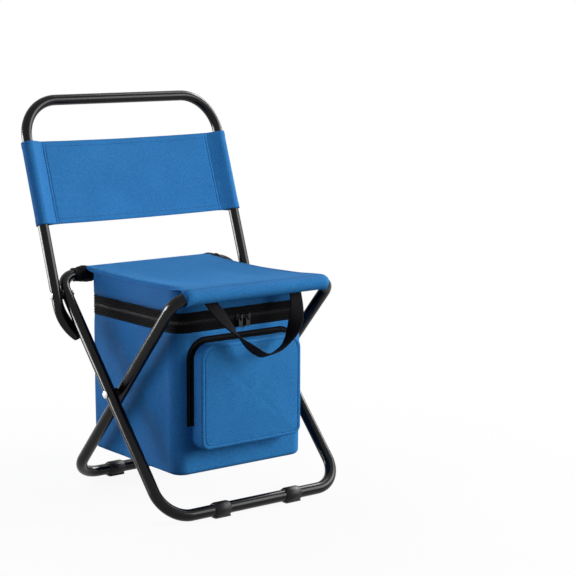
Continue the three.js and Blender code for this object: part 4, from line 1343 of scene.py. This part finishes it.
band_seams = Seam()
front_way, back_way = tilted([-Y_AXIS, Y_AXIS], -HOOP_LEAN, 0)
for sign in (-1, 1):
    for inset in SIDE_STITCHES:
        column = web[np.argmin(np.abs(profile[web, 0] - sign * (seam_x - inset)))]
        line = band_points[2:-2, column]
        band_seams.run(on_hoop(line - (0, STITCH_DEPTH, 0)), front_way)
    flap = profile[0] if sign < 0 else profile[-1]
    line = level(np.tile(flap + np.multiply(FLAP_STITCH, (sign, 1)), (BAND_ROWS, 1)), band_heights)
    band_seams.run(on_hoop(line), back_way)
hem_line = HEM - STITCH_INSET
for height in (BAND_BOTTOM + hem_line, BAND_BOTTOM + BAND_HEIGHT - hem_line):
    line = band_points[np.argmin(np.abs(band_heights - height)), web]
    band_seams.run(on_hoop(line - (0, HEM_PROUD, 0)), front_way)
    band_seams.run(on_hoop(line + (0, HEM_PROUD, 0)), back_way)
attach(band_seams.sew("band_stitches", blue_thread), "backrest", "blue_fabric")


# Carry strap with half a twist, sewn flat under the front roll and pulled straight on its left
STRAP_PULL = 0.65
STRAP_STEPS = 90
STRAP_COLUMNS = 9
STRAP_CLEAR = 0.4
STRAP_EDGE = 0.7
STRAP_BEVEL = 0.2
STRAP_BEVEL_SHARE = 0.75
STRAP_SQUARE = (0.75, 1.0)
STRAP_TWIST = (0.05, 0.7)
STRAP_BACK_WEAVE = 30.0


def strap_line(along, end, lift):
    """A place on the strap's middle line, from -1 at its left end to 1 at its right end."""
    sweep = math.pi / 2 * along
    sideways = math.sin(sweep)
    if along < 0:
        sideways = (1 - STRAP_PULL) * sideways - STRAP_PULL * (1 - math.cos(sweep))
    return end + lift * math.cos(sweep) + X_AXIS * STRAP_HALF_SPAN * sideways


def strap_rings():
    """Sections along the strap, the distance walked along it and the section's own outline."""
    sewn = math.radians(STRAP_SEWN_ANGLE)
    hold = SEAT_ROLL + STRAP_CLEAR + FIT_CLEARANCE + STRAP_THICKNESS / 2
    end = np.array([0, hold * math.sin(sewn), -hold * math.cos(sewn)])
    lift = np.array([0, -STRAP_REACH, -STRAP_DROP]) - end
    flat_wise = np.cross(unit(lift), X_AXIS)
    half, thin = STRAP_WIDTH / 2, STRAP_THICKNESS / 2
    shoulder, slim = half - STRAP_BEVEL, thin * STRAP_BEVEL_SHARE
    across = np.linspace(half - STRAP_EDGE, STRAP_EDGE - half, STRAP_COLUMNS)
    section = [(half - STRAP_EDGE, -thin), (shoulder, -slim), (half, 0), (shoulder, slim)]
    section += [(x, thin) for x in across]
    section += [(-shoulder, slim), (-half, 0), (-shoulder, -slim)]
    section += [(x, -thin) for x in across[::-1][:-1]]
    section = np.array(section)
    shares = np.linspace(-1, 1, STRAP_STEPS + 1)
    points = np.array([strap_line(along, end, lift) for along in shares])
    headings = np.gradient(points, axis=0)
    rings = []
    for along, point, heading in zip(shares, points, headings):
        outward = 1 if along >= 0 else -1
        square = float(smooth_step(abs(along), *STRAP_SQUARE))
        heading = unit(unit(heading) * (1 - square) - outward * unit(lift) * square)
        edge_wise = np.cross(flat_wise, heading)
        turn = float(smooth_step(1 - abs(along), *STRAP_TWIST)) * math.pi / 2
        normal = unit(edge_wise * math.cos(turn) - flat_wise * math.sin(turn))
        other = np.cross(heading, normal)
        rings.append(front_bar + point + np.outer(section[:, 0], normal) + np.outer(section[:, 1], other))
    return np.array(rings), run_length(points), section


strap_points, strap_run, strap_section = strap_rings()
section_run = strap_section[:, 0] + STRAP_BACK_WEAVE * (strap_section[:, 1] < 0)
section_run = np.append(section_run, strap_section[0, 0])
strap = grid("carry_strap", strap_points, strap_web, weave(section_run, strap_run), wrap=True, capped=True)
attach(strap, "handle", "black_fabric", "carry_handle")


# Studio: pale floor, soft lights and the camera
FLOOR_SIZE = 30.0
FLOOR_BOUNCE = 0.12
FLOOR_TONE = 0.9
FLOOR_FADE = (0.25, 0.9)
NEAR_WHITE = 0.92
AMBIENT = 0.15
AMBIENT_TINT = (0.90, 0.74, 1.0, 1)
CAMERA_PLACE = (-1.3342, -1.8724, 0.6506)
CAMERA_AZIMUTH = 35.17
CAMERA_ELEVATION = 8.33
CAMERA_ROLL = -0.35
CAMERA_LENS = 103.7
CAMERA_SHIFT = (0.1863, -0.0379)


def backdrop_world(ambient):
    """Dim tinted light on the stool, and white wherever the backdrop is looked at."""
    world = bpy.data.worlds.new("studio")
    nodes = Nodes(world)
    plain = nodes.tree.nodes["Background"]
    nodes.feed(plain.inputs["Color"], AMBIENT_TINT)
    nodes.feed(plain.inputs["Strength"], ambient)
    white = nodes.node("ShaderNodeBackground", [("Color", (1, 1, 1, 1)), ("Strength", 1.0)])
    nodes.show("World Output", nodes.seen(), plain.outputs[0], white.outputs[0])
    return world


def floor_material(near_white):
    """Pale floor: white to the eye away from the stool, with its shadow kept near it."""
    shader = Shader("studio_floor", {"Roughness": 0.9, "Specular IOR Level": 0.1})
    seen = shader.seen()
    tone = shader.scaled(seen, 0.0, 1.0, FLOOR_BOUNCE, FLOOR_TONE)
    shader.feed(shader.surface.inputs["Base Color"], tone)
    distance = shader.node("ShaderNodeVectorMath", [(0, shader.places)], operation="LENGTH")
    whiteness = shader.scaled(distance.outputs["Value"], *FLOOR_FADE, near_white, 1.0)
    glow = shader.node("ShaderNodeEmission", [("Strength", 1.0)])
    share = shader.maths("MULTIPLY", seen, whiteness)
    shader.show("Material Output", share, shader.surface.outputs[0], glow.outputs[0])
    return shader.material


def softbox(name, place, target, size, power, tint=(1, 1, 1), mirrored=True, lights_cloth=True):
    """A soft lamp; one not mirrored leaves no highlight, one that lights no cloth only highlights."""
    light = bpy.data.lights.new(name, "AREA")
    light.shape = "RECTANGLE"
    light.size, light.size_y = size
    light.energy = power
    light.color = tint
    lamp = bpy.data.objects.new(name, light)
    lamp.visible_glossy = mirrored
    lamp.visible_diffuse = lights_cloth
    lamp.location = place
    lamp.rotation_euler = (Vector(target) - Vector(place)).to_track_quat("-Z", "Y").to_euler()
    bpy.context.scene.collection.objects.link(lamp)


def photo_camera():
    azimuth, elevation, roll = (math.radians(a) for a in (CAMERA_AZIMUTH, CAMERA_ELEVATION, CAMERA_ROLL))
    back = Vector((-math.sin(azimuth) * math.cos(elevation), -math.cos(azimuth) * math.cos(elevation),
                   math.sin(elevation)))
    right = Vector((math.cos(azimuth), -math.sin(azimuth), 0))
    up = back.cross(right)
    across = right * math.cos(roll) + up * math.sin(roll)
    upward = up * math.cos(roll) - right * math.sin(roll)
    data = bpy.data.cameras.new("photo_camera")
    data.lens = CAMERA_LENS
    data.shift_x, data.shift_y = CAMERA_SHIFT
    camera = bpy.data.objects.new("photo_camera", data)
    place = Matrix((across, upward, back)).transposed().to_4x4()
    place.translation = Vector(CAMERA_PLACE)
    camera.matrix_world = place
    bpy.context.scene.collection.objects.link(camera)
    return camera


half = FLOOR_SIZE / 2
ground = bpy.data.meshes.new("studio_ground")
corners = [(-half, -half, 0), (half, -half, 0), (half, half, 0), (-half, half, 0)]
ground.from_pydata(corners, [], [(0, 1, 2, 3)])
ground.materials.append(floor_material(NEAR_WHITE))
studio_floor = bpy.data.objects.new("studio_ground", ground)
bpy.context.scene.collection.objects.link(studio_floor)

bpy.context.scene.world = backdrop_world(AMBIENT)
bpy.context.scene.view_settings.view_transform = "Standard"
softbox("key", (2.15, -1.68, 1.15), (0, 0, 0.3), (2.2, 1.6), 94)
softbox("side", (-2.4, 1.0, 0.9), (0, 0, 0.2), (3.0, 2.0), 34, (0.72, 0.82, 1.0), mirrored=False)
softbox("backdrop", (0.3, 2.3, 0.7), (0, 0, 0.3), (2.4, 0.5), 58, mirrored=False)
softbox("top_glint", (1.45, 0.15, 2.2), (0, 0, 0.34), (0.6, 0.9), 12, lights_cloth=False)
softbox("right_glint", (2.2, 0.3, 1.6), (0, 0, 0.3), (1.2, 1.4), 90, lights_cloth=False)
softbox("left_glint", (-1.8, 1.75, 0.45), (0, 0, 0.3), (1.6, 0.9), 130, lights_cloth=False)
bpy.context.scene.camera = photo_camera()
